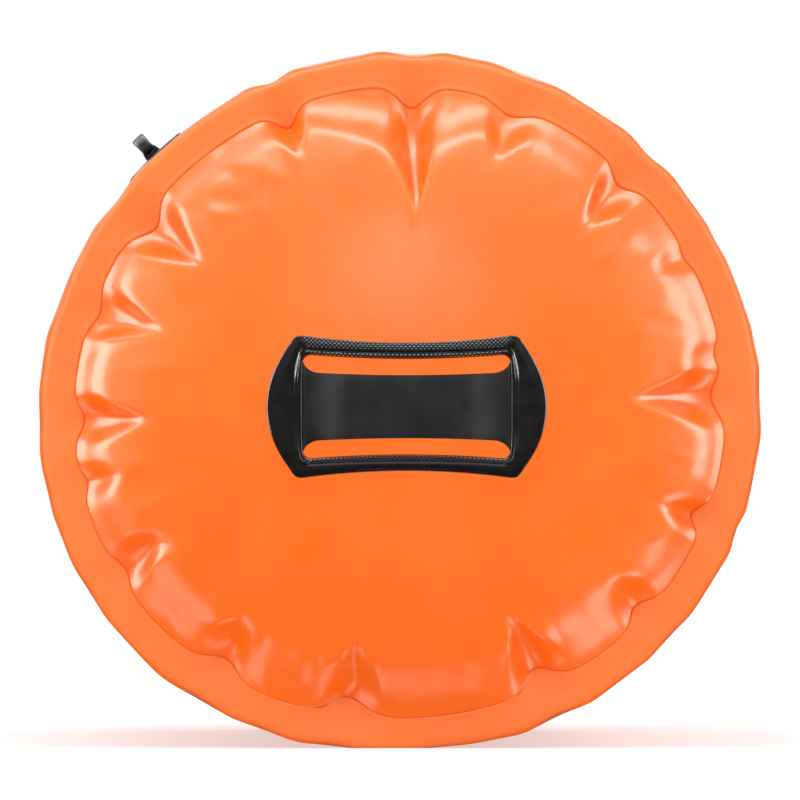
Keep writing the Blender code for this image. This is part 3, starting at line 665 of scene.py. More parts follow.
def roll_dents(stations):
    """Small dents of the roll's layers: a wave count, phase and depth for each, strongest in the bends."""
    dents = np.zeros((len(stations), 3))
    bend = smoothstep(np.abs(stations), ROLL_STRAIGHT - 0.02, ROLL_STRAIGHT + 0.02)
    for pitch, depth in ((0.0071, 0.00030), (0.0113, 0.00035), (0.0290, 0.00045)):
        for side in range(3):
            phase = rng.uniform(0, math.tau)
            wave = 0.5 + 0.5 * np.sin(stations / pitch * math.tau + phase)
            dents[:, side] += depth * wave * (0.35 + 0.65 * bend)
    return dents


def make_roll(material):
    """The mouth rolled up three turns, bent round into a loop."""
    outer, inner = spiral_line(0.0), spiral_line(ROLL_LAYER)
    section = np.concatenate([outer, inner[::-1]])
    turn = np.linspace(0, ROLL_TURNS, len(outer))
    layer = np.concatenate([turn, turn[::-1]])
    depth_share = np.clip(1 - 0.45 * layer, 0.05, 1)
    stations = roll_stations()
    dents = roll_dents(stations)
    loops = []
    for s, (inside, above, below) in zip(stations, dents):
        n, z = section[:, 0], section[:, 1]
        face = np.clip(-n / ROLL_HALF_N, 0, 1) * inside
        n = n + face * depth_share
        z = z - np.clip(z / ROLL_HALF_Z, 0, 1) ** 2 * above * depth_share
        z = z + np.clip(-z / ROLL_HALF_Z, 0, 1) ** 2 * below * depth_share
        loops.append(roll_points(np.full(len(n), s), n, z))
    roll = loft("mouth_roll", loops, material, "closure", sharp=60)
    line = np.concatenate([[0], np.cumsum(np.linalg.norm(np.diff(outer, axis=0), axis=1))])
    across = np.concatenate([line, line[::-1]])
    uv = np.stack(np.broadcast_arrays(stations[:, None], across[None, :]), -1)
    set_uv(roll, uv)
    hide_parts("roll_wrap")
    return roll


def tile(name, points, normals, low, high, material, body, sharp=40):
    """A solid slab over part of a surface, between two heights given for each of its points."""
    rows, cols = points.shape[:2]
    bottom = points + normals * low
    top = points + normals * high[..., None]
    count = rows * cols
    quads = grid_faces(rows, cols, closed=False)
    faces = [tuple(f) for f in quads] + [tuple(f[::-1] + count) for f in quads]
    rim = [r * cols for r in range(rows)] + [(rows - 1) * cols + c for c in range(1, cols)]
    rim += [r * cols + cols - 1 for r in range(rows - 2, -1, -1)] + list(range(cols - 2, 0, -1))
    for a, b in zip(rim, rim[1:] + rim[:1]):
        faces.append((a, b, b + count, a + count))
    obj = mesh_object(name, np.concatenate([bottom.reshape(-1, 3), top.reshape(-1, 3)]), faces, material)
    return finish_piece(obj, body, sharp)


def make_seam_tape(tube, material):
    """The tape welded along the wall, with a pressed line near each edge."""
    low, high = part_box("wall_seam_strip")
    rows = np.nonzero((tube[:, 0, 1] > low.y) & (tube[:, 0, 1] < high.y))[0]
    columns = round(TAPE_ANGLE / 360 * AROUND) + np.arange(-4, 5)
    part = np.ix_(np.arange(rows[0], rows[-1] + 1), columns)
    points, normals = tube[part], grid_normals(tube)[part]
    across = np.linspace(-1, 1, points.shape[1])[None, :]
    profile = TAPE_HEIGHT - 0.00035 * bell((np.abs(across) - 0.72) / 0.12)
    height = np.repeat(profile, len(points), axis=0)
    height *= 0.15 + 0.85 * smoothstep(points[..., 1], points[0, 0, 1], points[0, 0, 1] + 0.04)
    tape = tile("seam_tape", points, normals, -0.0003, height, material, "bag")
    uv = np.stack(np.broadcast_arrays(across * TAPE_HALF_WIDTH, points[..., 1]), -1).reshape(-1, 2)
    set_uv(tape, np.concatenate([uv, uv]))
    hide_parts("wall_seam_strip")


# Side patch, keeper and ring


def side_place(t, n, y):
    """World points from (along the wall's tangent, out from the wall, y from the fitting's middle)."""
    t, n, y = np.broadcast_arrays(t, n, y)
    radius = np.interp(SIDE_ANGLE, SECTION_ANGLES, SECTION_RADII)
    out_x, out_z = side_normal()
    x = radius * math.cos(SIDE_ANGLE) + out_z * t + out_x * n
    z = AXIS_Z + radius * math.sin(SIDE_ANGLE) - out_x * t + out_z * n
    return np.stack([x, SIDE_Y + y, z], -1)


def side_normal():
    """Direction out of the wall at the side fitting, in the X-Z plane, as the CAD has it."""
    a = SIDE_ANGLE + math.tau / WALL_CORNERS * np.array([-1, 1])
    r = np.interp(a, SECTION_ANGLES, SECTION_RADII)
    dx, dz = np.diff([r * np.cos(a), r * np.sin(a)])[:, 0]
    size = math.hypot(dx, dz)
    return dz / size, -dx / size


def make_side_patch(material):
    """The welded patch: it follows the wall, with a pressed border and thin edges."""
    columns, rows = np.linspace(-1, 1, 33), np.linspace(-1, 1, 57)
    v, u = np.meshgrid(rows, columns, indexing="ij")
    corner = 0.30
    round_end = corner * SIDE_HALF_T
    pinch = np.clip((np.abs(v) * SIDE_HALF_Y - (SIDE_HALF_Y - round_end)) / round_end, 0, 1)
    half_t = SIDE_HALF_T * (1 - corner * (1 - np.sqrt(np.clip(1 - pinch**2, 0, 1))))
    t, y = u * half_t, v * SIDE_HALF_Y
    sagitta = t * t / (2 * MEAN_RADIUS)
    points = side_place(t, -sagitta + 0.0003, y)
    out_x, out_z = side_normal()
    normals = np.broadcast_to(np.array([out_x, 0, out_z]), points.shape)
    inset = np.minimum((1 - np.abs(u)) * half_t, (1 - np.abs(v)) * SIDE_HALF_Y)
    height = 0.0008 * smoothstep(inset, -0.0006, 0.0007) - 0.00035 * bell((inset - 0.0022) / 0.0006)
    patch = tile("side_base", points, normals, -0.0001, height, material, "bag")
    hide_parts("side_patch")


def arch(leg, half_t, rise, lean):
    """Section of a loop over the ring's bar, 40 points: up one leg, round the bar and down the other leg."""
    turn = np.linspace(lean, math.pi - lean, 13)
    over = [(half_t * math.cos(a), RING_BAR + rise * math.sin(a)) for a in turn]
    return resample(np.array(leg + over + [(-t, n) for t, n in reversed(leg)]), 40)


def make_keeper(material):
    """The short loop of webbing round the ring's bar, ribbed outside, and the stitched foot under it."""
    rib = 0.00012
    outer = arch([(0.0032, 0.0013), (0.0031, 0.0022), (0.0027, RING_BAR)], 0.0025, 0.0024, 0.15)
    inner = arch([(0.0011, 0.0023), (0.0018, RING_BAR - 0.0008)], 0.0019, 0.0018, 0.2)
    section = np.concatenate([outer, inner[::-1]]) - [0, RING_BAR]
    length = np.maximum(np.linalg.norm(section, axis=1), 1e-6)
    stations = np.linspace(-KEEPER_HALF_Y, KEEPER_HALF_Y, 39)
    loops = []
    for i, y in enumerate(stations):
        push = np.repeat([rib * (i % 2), 0], 40)
        t, n = (section * (1 - push / length)[:, None]).T
        loops.append(side_place(t, RING_BAR + n, y))
    keeper = loft("ring_keeper", loops, material, "bag", sharp=50)
    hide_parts("side_keeper")
    foot = [(0.0031, 0.0008), (0.0030, 0.0015), (0.0020, 0.0020), (0.0013, 0.0024)]
    foot += [(-t, n) for t, n in reversed(foot)]
    t, n = resample(np.array(foot + foot[:1]), 41)[:-1].T
    loft("keeper_foot", [side_place(t, n, y) for y in stations[1:-1]], material, "bag", sharp=50)


def resample(line, count):
    """Evenly spaced points along an open line."""
    steps = np.concatenate([[0], np.cumsum(np.linalg.norm(np.diff(line, axis=0), axis=1))])
    at = np.linspace(0, steps[-1], count)
    return np.stack([np.interp(at, steps, line[:, i]) for i in range(line.shape[1])], -1)


def make_ring(material):
    """The lash ring: a thin bar inside the keeper, thick legs outside it and a flat outer bow."""
    half_y, reach, corner, bar_radius = 0.0114, 0.0053, 0.0016, 0.0010
    leg_half_w, leg_half_t, bow_thinner, bow_wider = 0.0014, 0.0024, 0.0003, 0.0001
    turn = math.tau * np.arange(20) / 20
    across, over = np.cos(turn), np.sin(turn)
    loops = []
    count = 120
    for i in range(count):
        n, y = rounded_outline(reach / 2, half_y, corner, i / count)
        next_n, next_y = rounded_outline(reach / 2, half_y, corner, (i + 0.2) / count)
        tangent = Vector((next_n - n, next_y - y)).normalized()
        side = Vector((tangent.y, -tangent.x))
        bar = smoothstep(-n, 0.0, reach / 2) * (1 - smoothstep(abs(y), 0.0098, 0.0108))
        bow = smoothstep(n, 0.0006, 0.0018)
        half_w = leg_half_w + (bar_radius - leg_half_w) * bar - bow_thinner * bow
        half_t = leg_half_t + (bar_radius - leg_half_t) * bar + bow_wider * bow
        w = half_w * np.sign(across) * np.abs(across) ** (0.6 + 0.4 * bar)
        t = half_t * np.sign(over) * np.abs(over) ** (0.45 + 0.55 * bar)
        loops.append(side_place(t, RING_BAR + reach / 2 + n + side.x * w, y + side.y * w))
    ring = loft("lash_ring", loops, material, "side_ring", closed=True)
    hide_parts("side_ring")
    return ring


# Lash patch on the base


def patch_points(x, off, z):
    """World points from (across, off the base, up) about the patch's middle."""
    return np.stack(np.broadcast_arrays(PATCH_X + x, PATCH_Y - off, PATCH_Z + z), -1)


def hourglass(corner_x, side_x, corner_z, middle_z, radius, bar=150, bend=12, side=24):
    """One quarter of the patch's outline or window, from the middle of its top to the middle of its side."""
    reach = corner_x - radius
    x = np.linspace(0, reach, bar + 1)
    top = np.stack([x, middle_z + (corner_z - middle_z) * (x / reach) ** 2], -1)
    stop = 22.0 if side_x > corner_x else 0.0
    a = np.radians(np.linspace(90, stop, bend + 1)[1:])
    corner = np.stack([reach + radius * np.cos(a), corner_z - radius + radius * np.sin(a)], -1)
    part = 1 - np.linspace(0, 1, side + 1)[1:]
    z = corner[-1, 1] * part
    end = np.stack([side_x - (side_x - corner[-1, 0]) * part**2, z], -1)
    return np.concatenate([top, corner, end])


def all_round(quarter):
    """The whole loop from its upper right quarter, clockwise from the middle of the top."""
    right = np.concatenate([quarter, quarter[-2::-1] * [1, -1]])
    return np.concatenate([right, right[-2:0:-1] * [-1, 1]])


def ridge_shape(d, low, high, height, edge=0.35):
    """A flat-topped ridge between two distances, with round shoulders. Lengths in mm."""
    return height * smoothstep(d, low, low + edge) * (1 - smoothstep(d, high - edge, high))


def patch_relief(d, z, width, upper, lower, flank):
    """Height of the patch's face in mm, d mm out from the window, on a rim that is width mm wide."""
    top = 1.9 + ridge_shape(d, 0.25, 2.0, 0.7) + ridge_shape(d, 2.7, width + 1.0, 0.8)
    bottom = 1.9 + ridge_shape(d, 0.15, 2.4, 0.9) + 0.2 * smoothstep(d, 2.4, 3.4)
    streak = 0.25 + 0.65 * bell((z - 14.5) / 3.5)
    side = 2.1 + ridge_shape(d, 1.7, 3.4, streak, 0.7)
    face = upper * top + lower * bottom + flank * side
    fall = 1 - smoothstep(d / width, 0.62, 1.0) * (0.12 * upper + 0.45 * lower + 0.12 * flank)
    inner_edge, outer_edge = smoothstep(d, 0.0, 0.5), smoothstep(width - d, 0.0, 0.2)
    return face * fall * (0.55 + 0.45 * inner_edge) * (0.6 + 0.4 * outer_edge)


def make_lash_patch(material):
    """The moulded frame: knurled ridges beside the slots, smooth flanks with an upright ridge."""
    outline = all_round(hourglass(OUTLINE_X, OUTLINE_SIDE, OUTLINE_Z, OUTLINE_MIDDLE, 0.0040))
    window = all_round(hourglass(WINDOW_X, WINDOW_X, WINDOW_Z, WINDOW_MIDDLE, 0.0030))
    steps = 36
    share = np.linspace(0, 1, steps + 1)
    face = window[None] + (outline - window)[None] * share[:, None, None]
    width = np.linalg.norm(outline - window, axis=1) * 1000
    d = share[:, None] * width[None, :]
    flank = smoothstep(np.abs(window[:, 0]), 0.0335, 0.0372)[None, :]
    upper = (window[:, 1] > 0)[None, :] * (1 - flank)
    lower = (window[:, 1] <= 0)[None, :] * (1 - flank)
    height = patch_relief(d, face[..., 1] * 1000, width[None, :], upper, lower, flank)
    knurl = np.sin(math.tau * face[..., 0] / KNURL_PITCH) * np.sin(math.tau * d / 1000 / KNURL_PITCH)
    near = ridge_shape(d, 0.2, 2.1, 1.0)
    far = ridge_shape(d, 2.5, width[None, :] - 0.2, 1.0)
    edge = ridge_shape(d, width[None, :] - 1.6, width[None, :] - 0.6, 0.5)
    height += KNURL_HEIGHT * np.clip(knurl, 0, 1) * (upper * (near + far) + lower * (near + edge))
    top = patch_points(face[..., 0], height / 1000, face[..., 1])
    foot = patch_points(face[[0, -1], :, 0], 0.0, face[[0, -1], :, 1])
    loops = np.concatenate([foot[:1], top, foot[1:]])
    patch = loft("lash_frame", loops, material, "bag", closed=True, sharp=75)
    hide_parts("lash_patch")
    return patch


def bridge_off(x):
    """Height of the bridge's underside off the base, for distances x from its middle."""
    return BRIDGE_TOP * (1 - smoothstep(np.abs(x), BRIDGE_FLAT, BRIDGE_FOOT))


def make_bridge(material):
    """The strap across the window: bowed out, wider at its ends, with a thin raised line at each end."""
    end, shoulder, flare, thickness = 0.0384, 0.0315, 0.0060, 0.0012
    foot = np.linspace(BRIDGE_FOOT, end, 13)
    xs = np.concatenate([-foot[::-1], np.linspace(-0.0350, 0.0350, 121), foot])
    across = np.linspace(-1, 1, 25)
    loops = []
    for x in xs:
        sweep = np.clip((abs(x) - shoulder) / flare, 0, 1)
        half = 0.0114 + 0.0008 * (x / shoulder) ** 2 + 0.0048 * (1 - math.sqrt(1 - sweep**2))
        half = min(half, WINDOW_MIDDLE)
        low = bridge_off(x)
        line = 0.00035 * bell((abs(x) - 0.0371) / 0.00022)
        crown = 0.0003 * (1 - across**2) + thickness - 0.0004 * np.abs(across) ** 12
        upper = patch_points(x, low + crown + line, across * half)
        under = patch_points(x, low, across * half)[::-1]
        loops.append(np.concatenate([upper, under]))
    bridge = loft("lash_strap", loops, material, "bag", sharp=50)
    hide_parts("lash_bridge")
    return bridge


# Webbing


def arc_line(center_x, center_v, radius, start, end, count=14):
    a = np.radians(np.linspace(start, end, count))
    return np.stack([center_x + radius * np.cos(a), center_v + radius * np.sin(a)], -1)


def smooth_line(line, passes=6):
    """The line evenly spaced, with its corners eased."""
    length = np.linalg.norm(np.diff(line, axis=0), axis=1).sum()
    line = resample(line, max(int(length / WEBBING_STEP), 4))
    for _ in range(passes):
        line[1:-1] = 0.25 * line[:-2] + 0.5 * line[1:-1] + 0.25 * line[2:]
    return line


def webbing_section(count=19):
    """Half thickness across the webbing, from -1 to 1: round selvedges and shallow ribs between them."""
    across = np.linspace(-1, 1, count)
    body = (1 - np.abs(across) ** 8) ** 0.5
    ribs = 0.92 + 0.08 * np.cos(across * math.pi * 9)
    return across, np.maximum(body * ribs, 0.12)


def make_webbing(name, line, body, node, material, grow=0.0):
    """A strap along a line in the X-Y plane, v measured from the buckle's plane. grow thickens its end."""
    line = smooth_line(np.array(line, float))
    across, share = webbing_section()
    tangent = np.gradient(line, axis=0)
    tangent /= np.linalg.norm(tangent, axis=1, keepdims=True)
    loops = []
    for i, ((x, v), (tx, tv)) in enumerate(zip(line, tangent)):
        half = share * WEBBING / 2 * (1 + 0.05 * (-1) ** i) * (1 + grow * (i > len(line) - 8))
        edge = across * WEBBING_HALF * (1 - 0.004 * (i % 2))
        up = np.stack([x - tv * half, BUCKLE_Y + v + tx * half, AXIS_Z + edge], -1)
        down = np.stack([x + tv * half, BUCKLE_Y + v - tx * half, AXIS_Z + edge], -1)[::-1]
        loops.append(np.concatenate([up, down]))
    strap = loft(name, loops, material, body, sharp=70)
    along = np.arange(len(line)) * WEBBING_STEP
    width = np.concatenate([across, across[::-1]]) * WEBBING_HALF
    set_uv(strap, np.stack(np.broadcast_arrays(along[:, None], width[None, :]), -1))
    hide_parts(node)


def make_straps(material):
    """The doubled strap round the socket's bar, the one under the plug, and its tail round the plug's bar."""
    buckle_x, end_x = -0.0080, 0.0640
    socket_bar, socket_neck, plug_bar = buckle_x - 0.0282, buckle_x - 0.0347, buckle_x + 0.0180
    socket_eye, plug_eye = 0.0033, 0.0034
    layer = WEBBING / 2 + 0.0001
    loop = arc_line(socket_bar, 0, socket_eye, 125, -125)
    line = np.concatenate([[(-end_x, layer), (socket_neck, layer)], loop,
                           [(socket_neck, -layer), (-end_x, -layer)]])
    make_webbing("webbing_fixed", line, "closure", "strap_left", material)
    low = -0.0072
    line = [(0.0025, low), (0.0365, low), (0.0400, low + 0.001), (0.0440, -0.001), (0.0470, 0), (end_x, 0)]
    make_webbing("webbing_adjustable", line, "closure", "strap_right", material)
    line = np.concatenate([arc_line(plug_bar, 0, plug_eye, 250, 92),
                           [(0.0165, 0.0065), (0.0240, 0.0106), (0.0400, 0.0106)]])
    make_webbing("webbing_tail", line, "plug", "strap_tail", material, grow=0.55)


def make_stitches(name, rows, body, material):
    """Rows of thread on a face that looks along +Y: each row is (start, end, count) with world ends."""
    points, faces = [], []
    out, turn = np.array([0, 1, 0]), math.tau * np.arange(6)[:, None] / 6
    for start, end, count in rows:
        step = (np.array(end) - start) / count
        side = np.cross(step / np.linalg.norm(step), out)
        ring = (side * np.cos(turn) + out * np.sin(turn)) * THREAD_RADIUS
        for i in range(count):
            first = len(points)
            for part, size in ((-0.37, 0.35), (-0.222, 1.0), (0.222, 1.0), (0.37, 0.35)):
                points += list(start + step * (i + 0.5 + part) + ring * size)
            faces += [tuple(f) for f in grid_faces(4, 6, first=first)]
            faces += [tuple(range(first + 5, first - 1, -1)), tuple(range(first + 18, first + 24))]
    obj = mesh_object(name, points, faces, material)
    finish_piece(obj, body)


def box_stitch(x_low, x_high, y, half_z, per_mm=0.34):
    """The four sides of a box, as rows of stitches on a face at y."""
    corners = [(x_low, y, AXIS_Z - half_z), (x_high, y, AXIS_Z - half_z),
               (x_high, y, AXIS_Z + half_z), (x_low, y, AXIS_Z + half_z)]
    rows = []
    for start, end in zip(corners, corners[1:] + corners[:1]):
        length = math.dist(start, end) * 1000
        rows.append((start, end, max(round(length * per_mm), 2)))
    return rows


def make_grips(material, half_z=0.0090, radius=0.0006, pitch=0.0026):
    """Grip ribs on the outer face of the buckle's socket."""
    middle_x = SOCKET_LOW.x + 0.62 * (SOCKET_HIGH.x - SOCKET_LOW.x)
    turn = math.pi * np.arange(10) / 9
    for i in range(4):
        loops = []
        for z in np.linspace(-half_z, half_z, 25):
            x = middle_x + (i - 1.5) * pitch + 0.0016 * (1 - (z / half_z) ** 2)
            tip = radius * math.sqrt(max(1 - (z / (half_z + 0.0001)) ** 4, 0.02))
            y = SOCKET_HIGH.y - 0.0001 + tip * np.sin(turn)
            loops.append(np.stack([x + tip * np.cos(turn), y, np.full(10, AXIS_Z + z)], -1))
        loft(f"buckle_grip_{i + 1}", loops, material, "closure", sharp=60)


# Materials


def node_of(tree, kind, **values):
    """A shader node with some of its inputs or settings set."""
    node = tree.nodes.new("ShaderNode" + kind)
    for name, value in values.items():
        if name in node.inputs:
            node.inputs[name].default_value = value
        else:
            setattr(node, name, value)
    return node


def wire(source, output, target, entry):
    source.id_data.links.new(source.outputs[output], target.inputs[entry])


def plain_material(name, **values):
    """A new material and its shader, with some of its inputs set."""
    material = bpy.data.materials.new(name)
    material.use_nodes = True
    shader = material.node_tree.nodes["Principled BSDF"]
    for key, value in values.items():
        shader.inputs[key.replace("_", " ")].default_value = value
    return material, shader


def coordinates(shader, kind="Object"):
    """Texture coordinates: the piece's own space, or UV for metres along the cloth."""
    return node_of(shader.id_data, "TexCoord"), kind


def noise(place, scale, detail=3.0, stretch=(1, 1, 1)):
    """Noise over the coordinates, finer along an axis whose stretch is larger."""
    mapping = node_of(place[0].id_data, "Mapping", Scale=stretch)
    texture = node_of(place[0].id_data, "TexNoise", Scale=scale, Detail=detail)
    wire(*place, mapping, "Vector")
    wire(mapping, "Vector", texture, "Vector")
    return texture


def weave(place, pitch, axis, distortion=0.0):
    """Ribs of a given pitch in metres, across one axis of the coordinates."""
    texture = node_of(place[0].id_data, "TexWave", bands_direction=axis, wave_profile="SIN",
                      Distortion=distortion, Scale=math.tau / 20 / pitch)
    wire(*place, texture, "Vector")
    return texture


def vary_color(shader, texture, dark, light, low=0.35, high=0.65):
    ramp = node_of(shader.id_data, "ValToRGB")
    for stop, position, color in zip(ramp.color_ramp.elements, (low, high), (dark, light)):
        stop.position, stop.color = position, (*color, 1)
    wire(texture, "Fac", ramp, "Fac")
    wire(ramp, "Color", shader, "Base Color")


def vary_roughness(shader, texture, low, high):
    spread = node_of(shader.id_data, "MapRange")
    for entry, value in (("From Min", 0.3), ("From Max", 0.7), ("To Min", low), ("To Max", high)):
        spread.inputs[entry].default_value = value
    wire(texture, "Fac", spread, "Value")
    wire(spread, "Result", shader, "Roughness")


def add_bumps(shader, bumps):
    """Bumps over one another, each (texture, height in metres, strength)."""
    under = None
    for texture, height, strength in bumps:
        bump = node_of(shader.id_data, "Bump", Strength=strength, Distance=height)
        wire(texture, "Fac", bump, "Height")
        if under:
            wire(under, "Normal", bump, "Normal")
        under = bump
    wire(under, "Normal", shader, "Normal")


def coated_fabric(name, color, kind="UV"):
    """Satin coated cloth: a fine weave under the coating, slight mottling and faint rubbed patches."""
    material, shader = plain_material(name, Specular_IOR_Level=0.3)
    place, cloth = coordinates(shader), coordinates(shader, kind)
    dark, light = (tuple(min(share * c, 1) for c in color) for share in (0.95, 1.04))
    vary_color(shader, noise(place, 22, 4), dark, light)
    vary_roughness(shader, noise(place, 45, 5), 0.23, 0.32)
    add_bumps(shader, ((weave(cloth, WEAVE_PITCH, "X"), 0.00004, 0.12),
                       (weave(cloth, WEAVE_PITCH, "Y"), 0.00004, 0.12),
                       (noise(cloth, 1500, 2), 0.00006, 0.40),
                       (noise(place, 90, 3), 0.0004, 0.25)))
    return material


def webbing_black(name, kind="UV"):
    """Woven nylon webbing: chevrons of thread between the ribs, and a little fuzz."""
    material, shader = plain_material(name, Roughness=0.78, Specular_IOR_Level=0.3, Sheen_Weight=0.35)
    cloth = coordinates(shader, kind)
    vary_color(shader, noise(cloth, 900, 3), *NYLON)
    add_bumps(shader, ((weave(cloth, 0.0011, "X", 1.5), 0.00018, 0.6),
                       (weave(cloth, 0.0007, "Y", 0.8), 0.00010, 0.5),
                       (noise(cloth, 4000, 2), 0.00006, 0.4)))
    return material


def solid_finish(name, colors, mottle, gloss, roughness, grain, depth, strength, **values):
    """A mottled color, uneven gloss and a fine grain. Each noise is (scale, detail) and maybe a stretch."""
    material, shader = plain_material(name, **values)
    place = coordinates(shader)
    vary_color(shader, noise(place, *mottle), *colors)
    vary_roughness(shader, noise(place, *gloss), *roughness)
    add_bumps(shader, [(noise(place, *grain), depth, strength)])
    return material


def moulded_black():
    """Glossy moulded rubber of the patch's frame, with a fine grain and slightly worn high spots."""
    return solid_finish("moulded_black", RUBBER, (160, 4), (220, 5), (0.13, 0.24), (2600, 3), 0.00003, 0.35,
                        Specular_IOR_Level=0.45)


def matte_strap():
    """Matte dark grey of the patch's strap, faintly mottled."""
    return solid_finish("matte_strap", STRAP_GRAY, (75, 6), (130, 4), (0.5, 0.72), (1900, 4), 0.00005, 0.5,
                        Specular_IOR_Level=0.10)


def plastic(name, color, roughness):
    """Injection-moulded plastic with a fine spark-eroded grain and faint handling marks."""
    colors = (color, tuple(min(1.35 * c, 0.95) for c in color))
    return solid_finish(name, colors, (120, 4), (180, 6, (1, 1, 5)), (roughness - 0.08, roughness + 0.12),
                        (3200, 3), 0.00004, 0.45)


def brushed_metal():
    """Nickel-plated rivets, brushed one way and a little tarnished."""
    return solid_finish("brushed_metal", NICKEL, (500, 5), (2500, 4, (1, 1, 12)), (0.24, 0.45),
                        (3000, 3, (1, 1, 15)), 0.00002, 0.4, Metallic=1.0)


def paint_cad(material, *names):
    """Gives a CAD node a finished material. Its shape stays."""
    for name in names:
        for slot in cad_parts[name].material_slots:
            slot.material = material


# Studio


def make_camera():
    camera = bpy.data.cameras.new("camera")
    camera.sensor_width, camera.lens = 36, CAMERA_LENS
    camera.clip_start, camera.clip_end = 0.1, 200
    obj = bpy.data.objects.new("camera", camera)
    obj.location = CAMERA_PLACE
    obj.rotation_euler = (math.pi / 2, 0, 0)
    bpy.context.scene.collection.objects.link(obj)
    bpy.context.scene.camera = obj


def make_stage():
    """A pale floor that glows a little, and that bright reflections and shadows leave alone."""
    material, shader = plain_material("pale_floor")
    tree = shader.id_data
    tree.nodes.remove(shader)
    matte = node_of(tree, "BsdfDiffuse", Color=(FLOOR_ALBEDO, FLOOR_ALBEDO, FLOOR_ALBEDO, 1))
    glow, both = node_of(tree, "Emission", Strength=FLOOR_GLOW), node_of(tree, "AddShader")
    wire(matte, 0, both, 0)
    wire(glow, 0, both, 1)
    wire(both, 0, tree.nodes["Material Output"], "Surface")
    rim = [(FLOOR_RADIUS * math.cos(a), FLOOR_RADIUS * math.sin(a), 0) for a in np.linspace(0, math.tau, 96)]
    floor = mesh_object("floor", rim[:-1], [range(95)], material)
    floor.visible_glossy = floor.visible_shadow = False


def make_world():
    """White to look at, an even fill for diffuse light, and a sky that reflects brightest overhead."""
    world = bpy.data.worlds.new("studio")
    world.use_nodes = True
    world.cycles.sampling_method = "NONE"
    tree = world.node_tree
    white = (1, 1, 1, 1)
    backdrop, sky = tree.nodes["Background"], node_of(tree, "Background")
    backdrop.inputs["Color"].default_value = white
    fill = node_of(tree, "Background", Color=white, Strength=SKY_FILL)
    place, split = node_of(tree, "TexCoord"), node_of(tree, "SeparateXYZ")
    shift, ramp = node_of(tree, "Math", operation="MULTIPLY_ADD"), node_of(tree, "ValToRGB")
    shift.inputs[1].default_value = shift.inputs[2].default_value = 0.5
    stops = ramp.color_ramp.elements
    stops[1].position = 1.0
    for position, _ in SKY[1:-1]:
        stops.new(position)
    for stop, (position, gray) in zip(stops, SKY):
        stop.position, stop.color = position, (gray, gray, gray, 1)
    wire(place, "Generated", split, 0)
    wire(split, "Z", shift, 0)
    wire(shift, 0, ramp, "Fac")
    wire(ramp, "Color", sky, "Color")
    path, light, seen = (node_of(tree, kind) for kind in ("LightPath", "MixShader", "MixShader"))
    mixes = ((light, "Is Glossy Ray", fill, sky), (seen, "Is Camera Ray", light, backdrop))
    for mix, ray, first, second in mixes:
        wire(path, ray, mix, "Fac")
        wire(first, 0, mix, 1)
        wire(second, 0, mix, 2)
    wire(seen, 0, tree.nodes["World Output"], "Surface")
    bpy.context.scene.world = world


def area_light(name, location, target, size, radiance, gloss_only=True):
    """A softbox of a given radiance, as seen from the front. Most are there only to be reflected."""
    light = bpy.data.lights.new(name, "AREA")
    light.shape = "RECTANGLE"
    light.size, light.size_y = size
    light.energy = radiance * math.pi * size[0] * size[1]
    obj = bpy.data.objects.new(name, light)
    obj.location = location
    obj.rotation_euler = (Vector(target) - Vector(location)).to_track_quat("-Z", "Y").to_euler()
    obj.visible_camera, obj.visible_diffuse = False, not gloss_only
    bpy.context.scene.collection.objects.link(obj)
    return obj


def show_only_to(lights, name, objects):
    """Lets lights shine on these objects alone."""
    shown = bpy.data.collections.new(name)
    for obj in objects:
        shown.objects.link(obj)
    for light in lights:
        light.light_linking.receiver_collection = shown


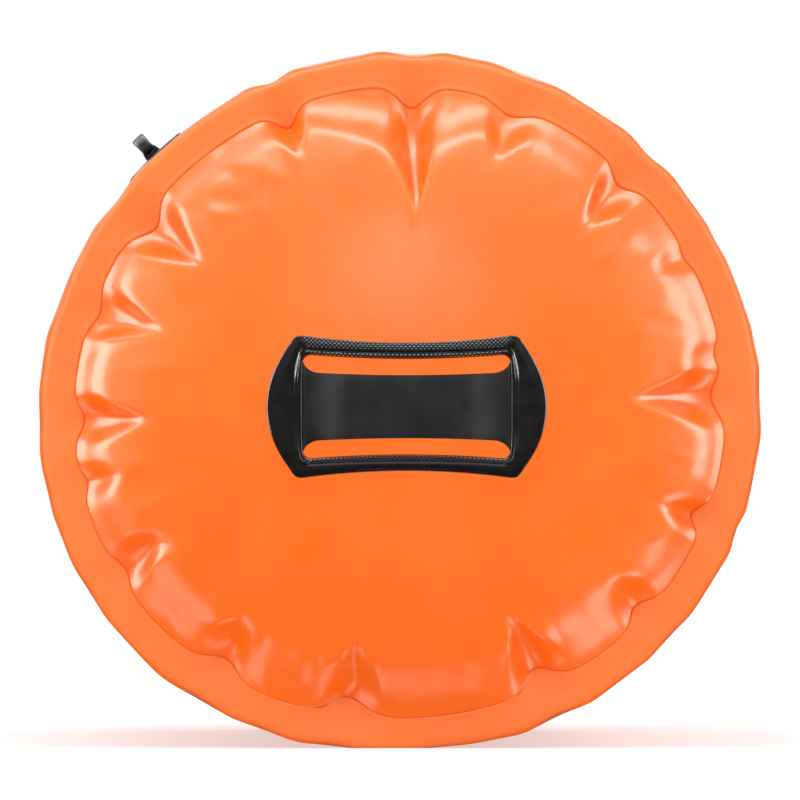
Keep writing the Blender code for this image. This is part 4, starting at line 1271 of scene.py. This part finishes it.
def make_lights(base, fittings):
    """Soft light for everything, and bright boxes that only the base and its fittings reflect."""
    middle = (0, BAND_Y, AXIS_Z)
    for name, place, size in (("left_fill", (-1.30, -1.05, 0.45), (0.9, 1.1)),
                              ("right_fill", (1.30, -1.05, 0.45), (0.9, 1.1)),
                              ("top_fill", (0, -1.05, 1.25), (1.6, 0.8))):
        area_light(name, place, middle, size, 2.5)
    area_light("key", (-0.3, -1.0, 1.8), (0, -0.1, AXIS_Z), (1.0, 1.0), 3.2, gloss_only=False)
    area_light("back_box", (0.9, 1.8, 0.9), (0, 0.1, AXIS_Z), (1.0, 0.8), 6.0, gloss_only=False)
    area_light("wall_box", (-1.2, 0.1, 1.3), (0, 0, AXIS_Z), (0.5, 1.2), 4.0)
    boxes = (("left_box", (-1.25, -0.42, 0.30), (0.7, 1.1), 17.0),
             ("right_box", (1.25, -0.42, 0.30), (0.7, 1.1), 14.0),
             ("top_box", (0, -0.48, 1.30), (1.6, 0.45), 13.5),
             ("low_left_box", (-0.80, -0.50, -0.68), (0.5, 0.5), 4.5),
             ("low_right_box", (0.80, -0.50, -0.68), (0.5, 0.5), 9.0),
             ("bottom_box", (-0.02, -0.32, -0.90), (0.4, 0.22), 5.0))
    lights = [area_light(name, place, middle, size, radiance) for name, place, size, radiance in boxes]
    show_only_to(lights, "reflects_boxes", (base, *fittings))
    fan = area_light("fan_strip", (0, -1.30, 0.44), middle, (0.15, 0.28), 12.0)
    show_only_to([fan], "reflects_fan", [base])


def make_fabric_parts():
    """Wall, base, tape and roll. Returns the base."""
    # The band's fabric is a paler copy of the orange cloth: a painted highlight.
    fabric, welded = coated_fabric("coated_fabric", ORANGE), coated_fabric("band_fabric_painted_highlight", BAND_ORANGE_PAINTED_LIGHT)
    disc, band = base_grid(), band_grid()
    if SIMULATE:
        disc, band = relax(disc, band)
    tube = make_wall(band, fabric, welded)
    base = make_base(disc, fabric)
    make_seam_tape(tube, fabric)
    make_roll(fabric)
    return base


def make_fittings():
    """Patch, strap, side fitting, webbing and grips. Returns the pieces that reflect the bright boxes."""
    black, buckle = moulded_black(), plastic("buckle_plastic", BUCKLE_BLACK, 0.38)
    webbing, nylon = webbing_black("webbing"), webbing_black("webbing_small", "Object")
    patch, bridge = make_lash_patch(black), make_bridge(matte_strap())
    patch.visible_diffuse = bridge.visible_diffuse = False
    make_side_patch(black)
    make_keeper(nylon)
    ring = make_ring(plastic("ring_plastic", RING_BLACK, 0.40))
    make_straps(webbing)
    make_grips(buckle)
    stitches = box_stitch(-0.0545, -0.0450, BUCKLE_Y + 1.15 * WEBBING, 0.0092)
    make_stitches("stitches_fixed", stitches, "closure", webbing)
    paint_cad(buckle, "buckle_socket", "buckle_plug", "buckle_prong_upper", "buckle_prong_lower")
    return patch, bridge, ring


def main():
    make_camera()
    make_stage()
    make_world()
    bpy.context.scene.view_settings.view_transform = "Standard"
    base = make_fabric_parts()
    make_lights(base, make_fittings())
    paint_cad(coated_fabric("coated_fabric_hem", ORANGE, "Object"), "mouth_hem_front", "mouth_hem_back")
    stiffener = plastic("stiffener_plastic", STIFFENER_WHITE, 0.42)
    paint_cad(stiffener, "mouth_stiffener_front", "mouth_stiffener_back")
    paint_cad(brushed_metal(), "rivet_left", "rivet_right")


main()
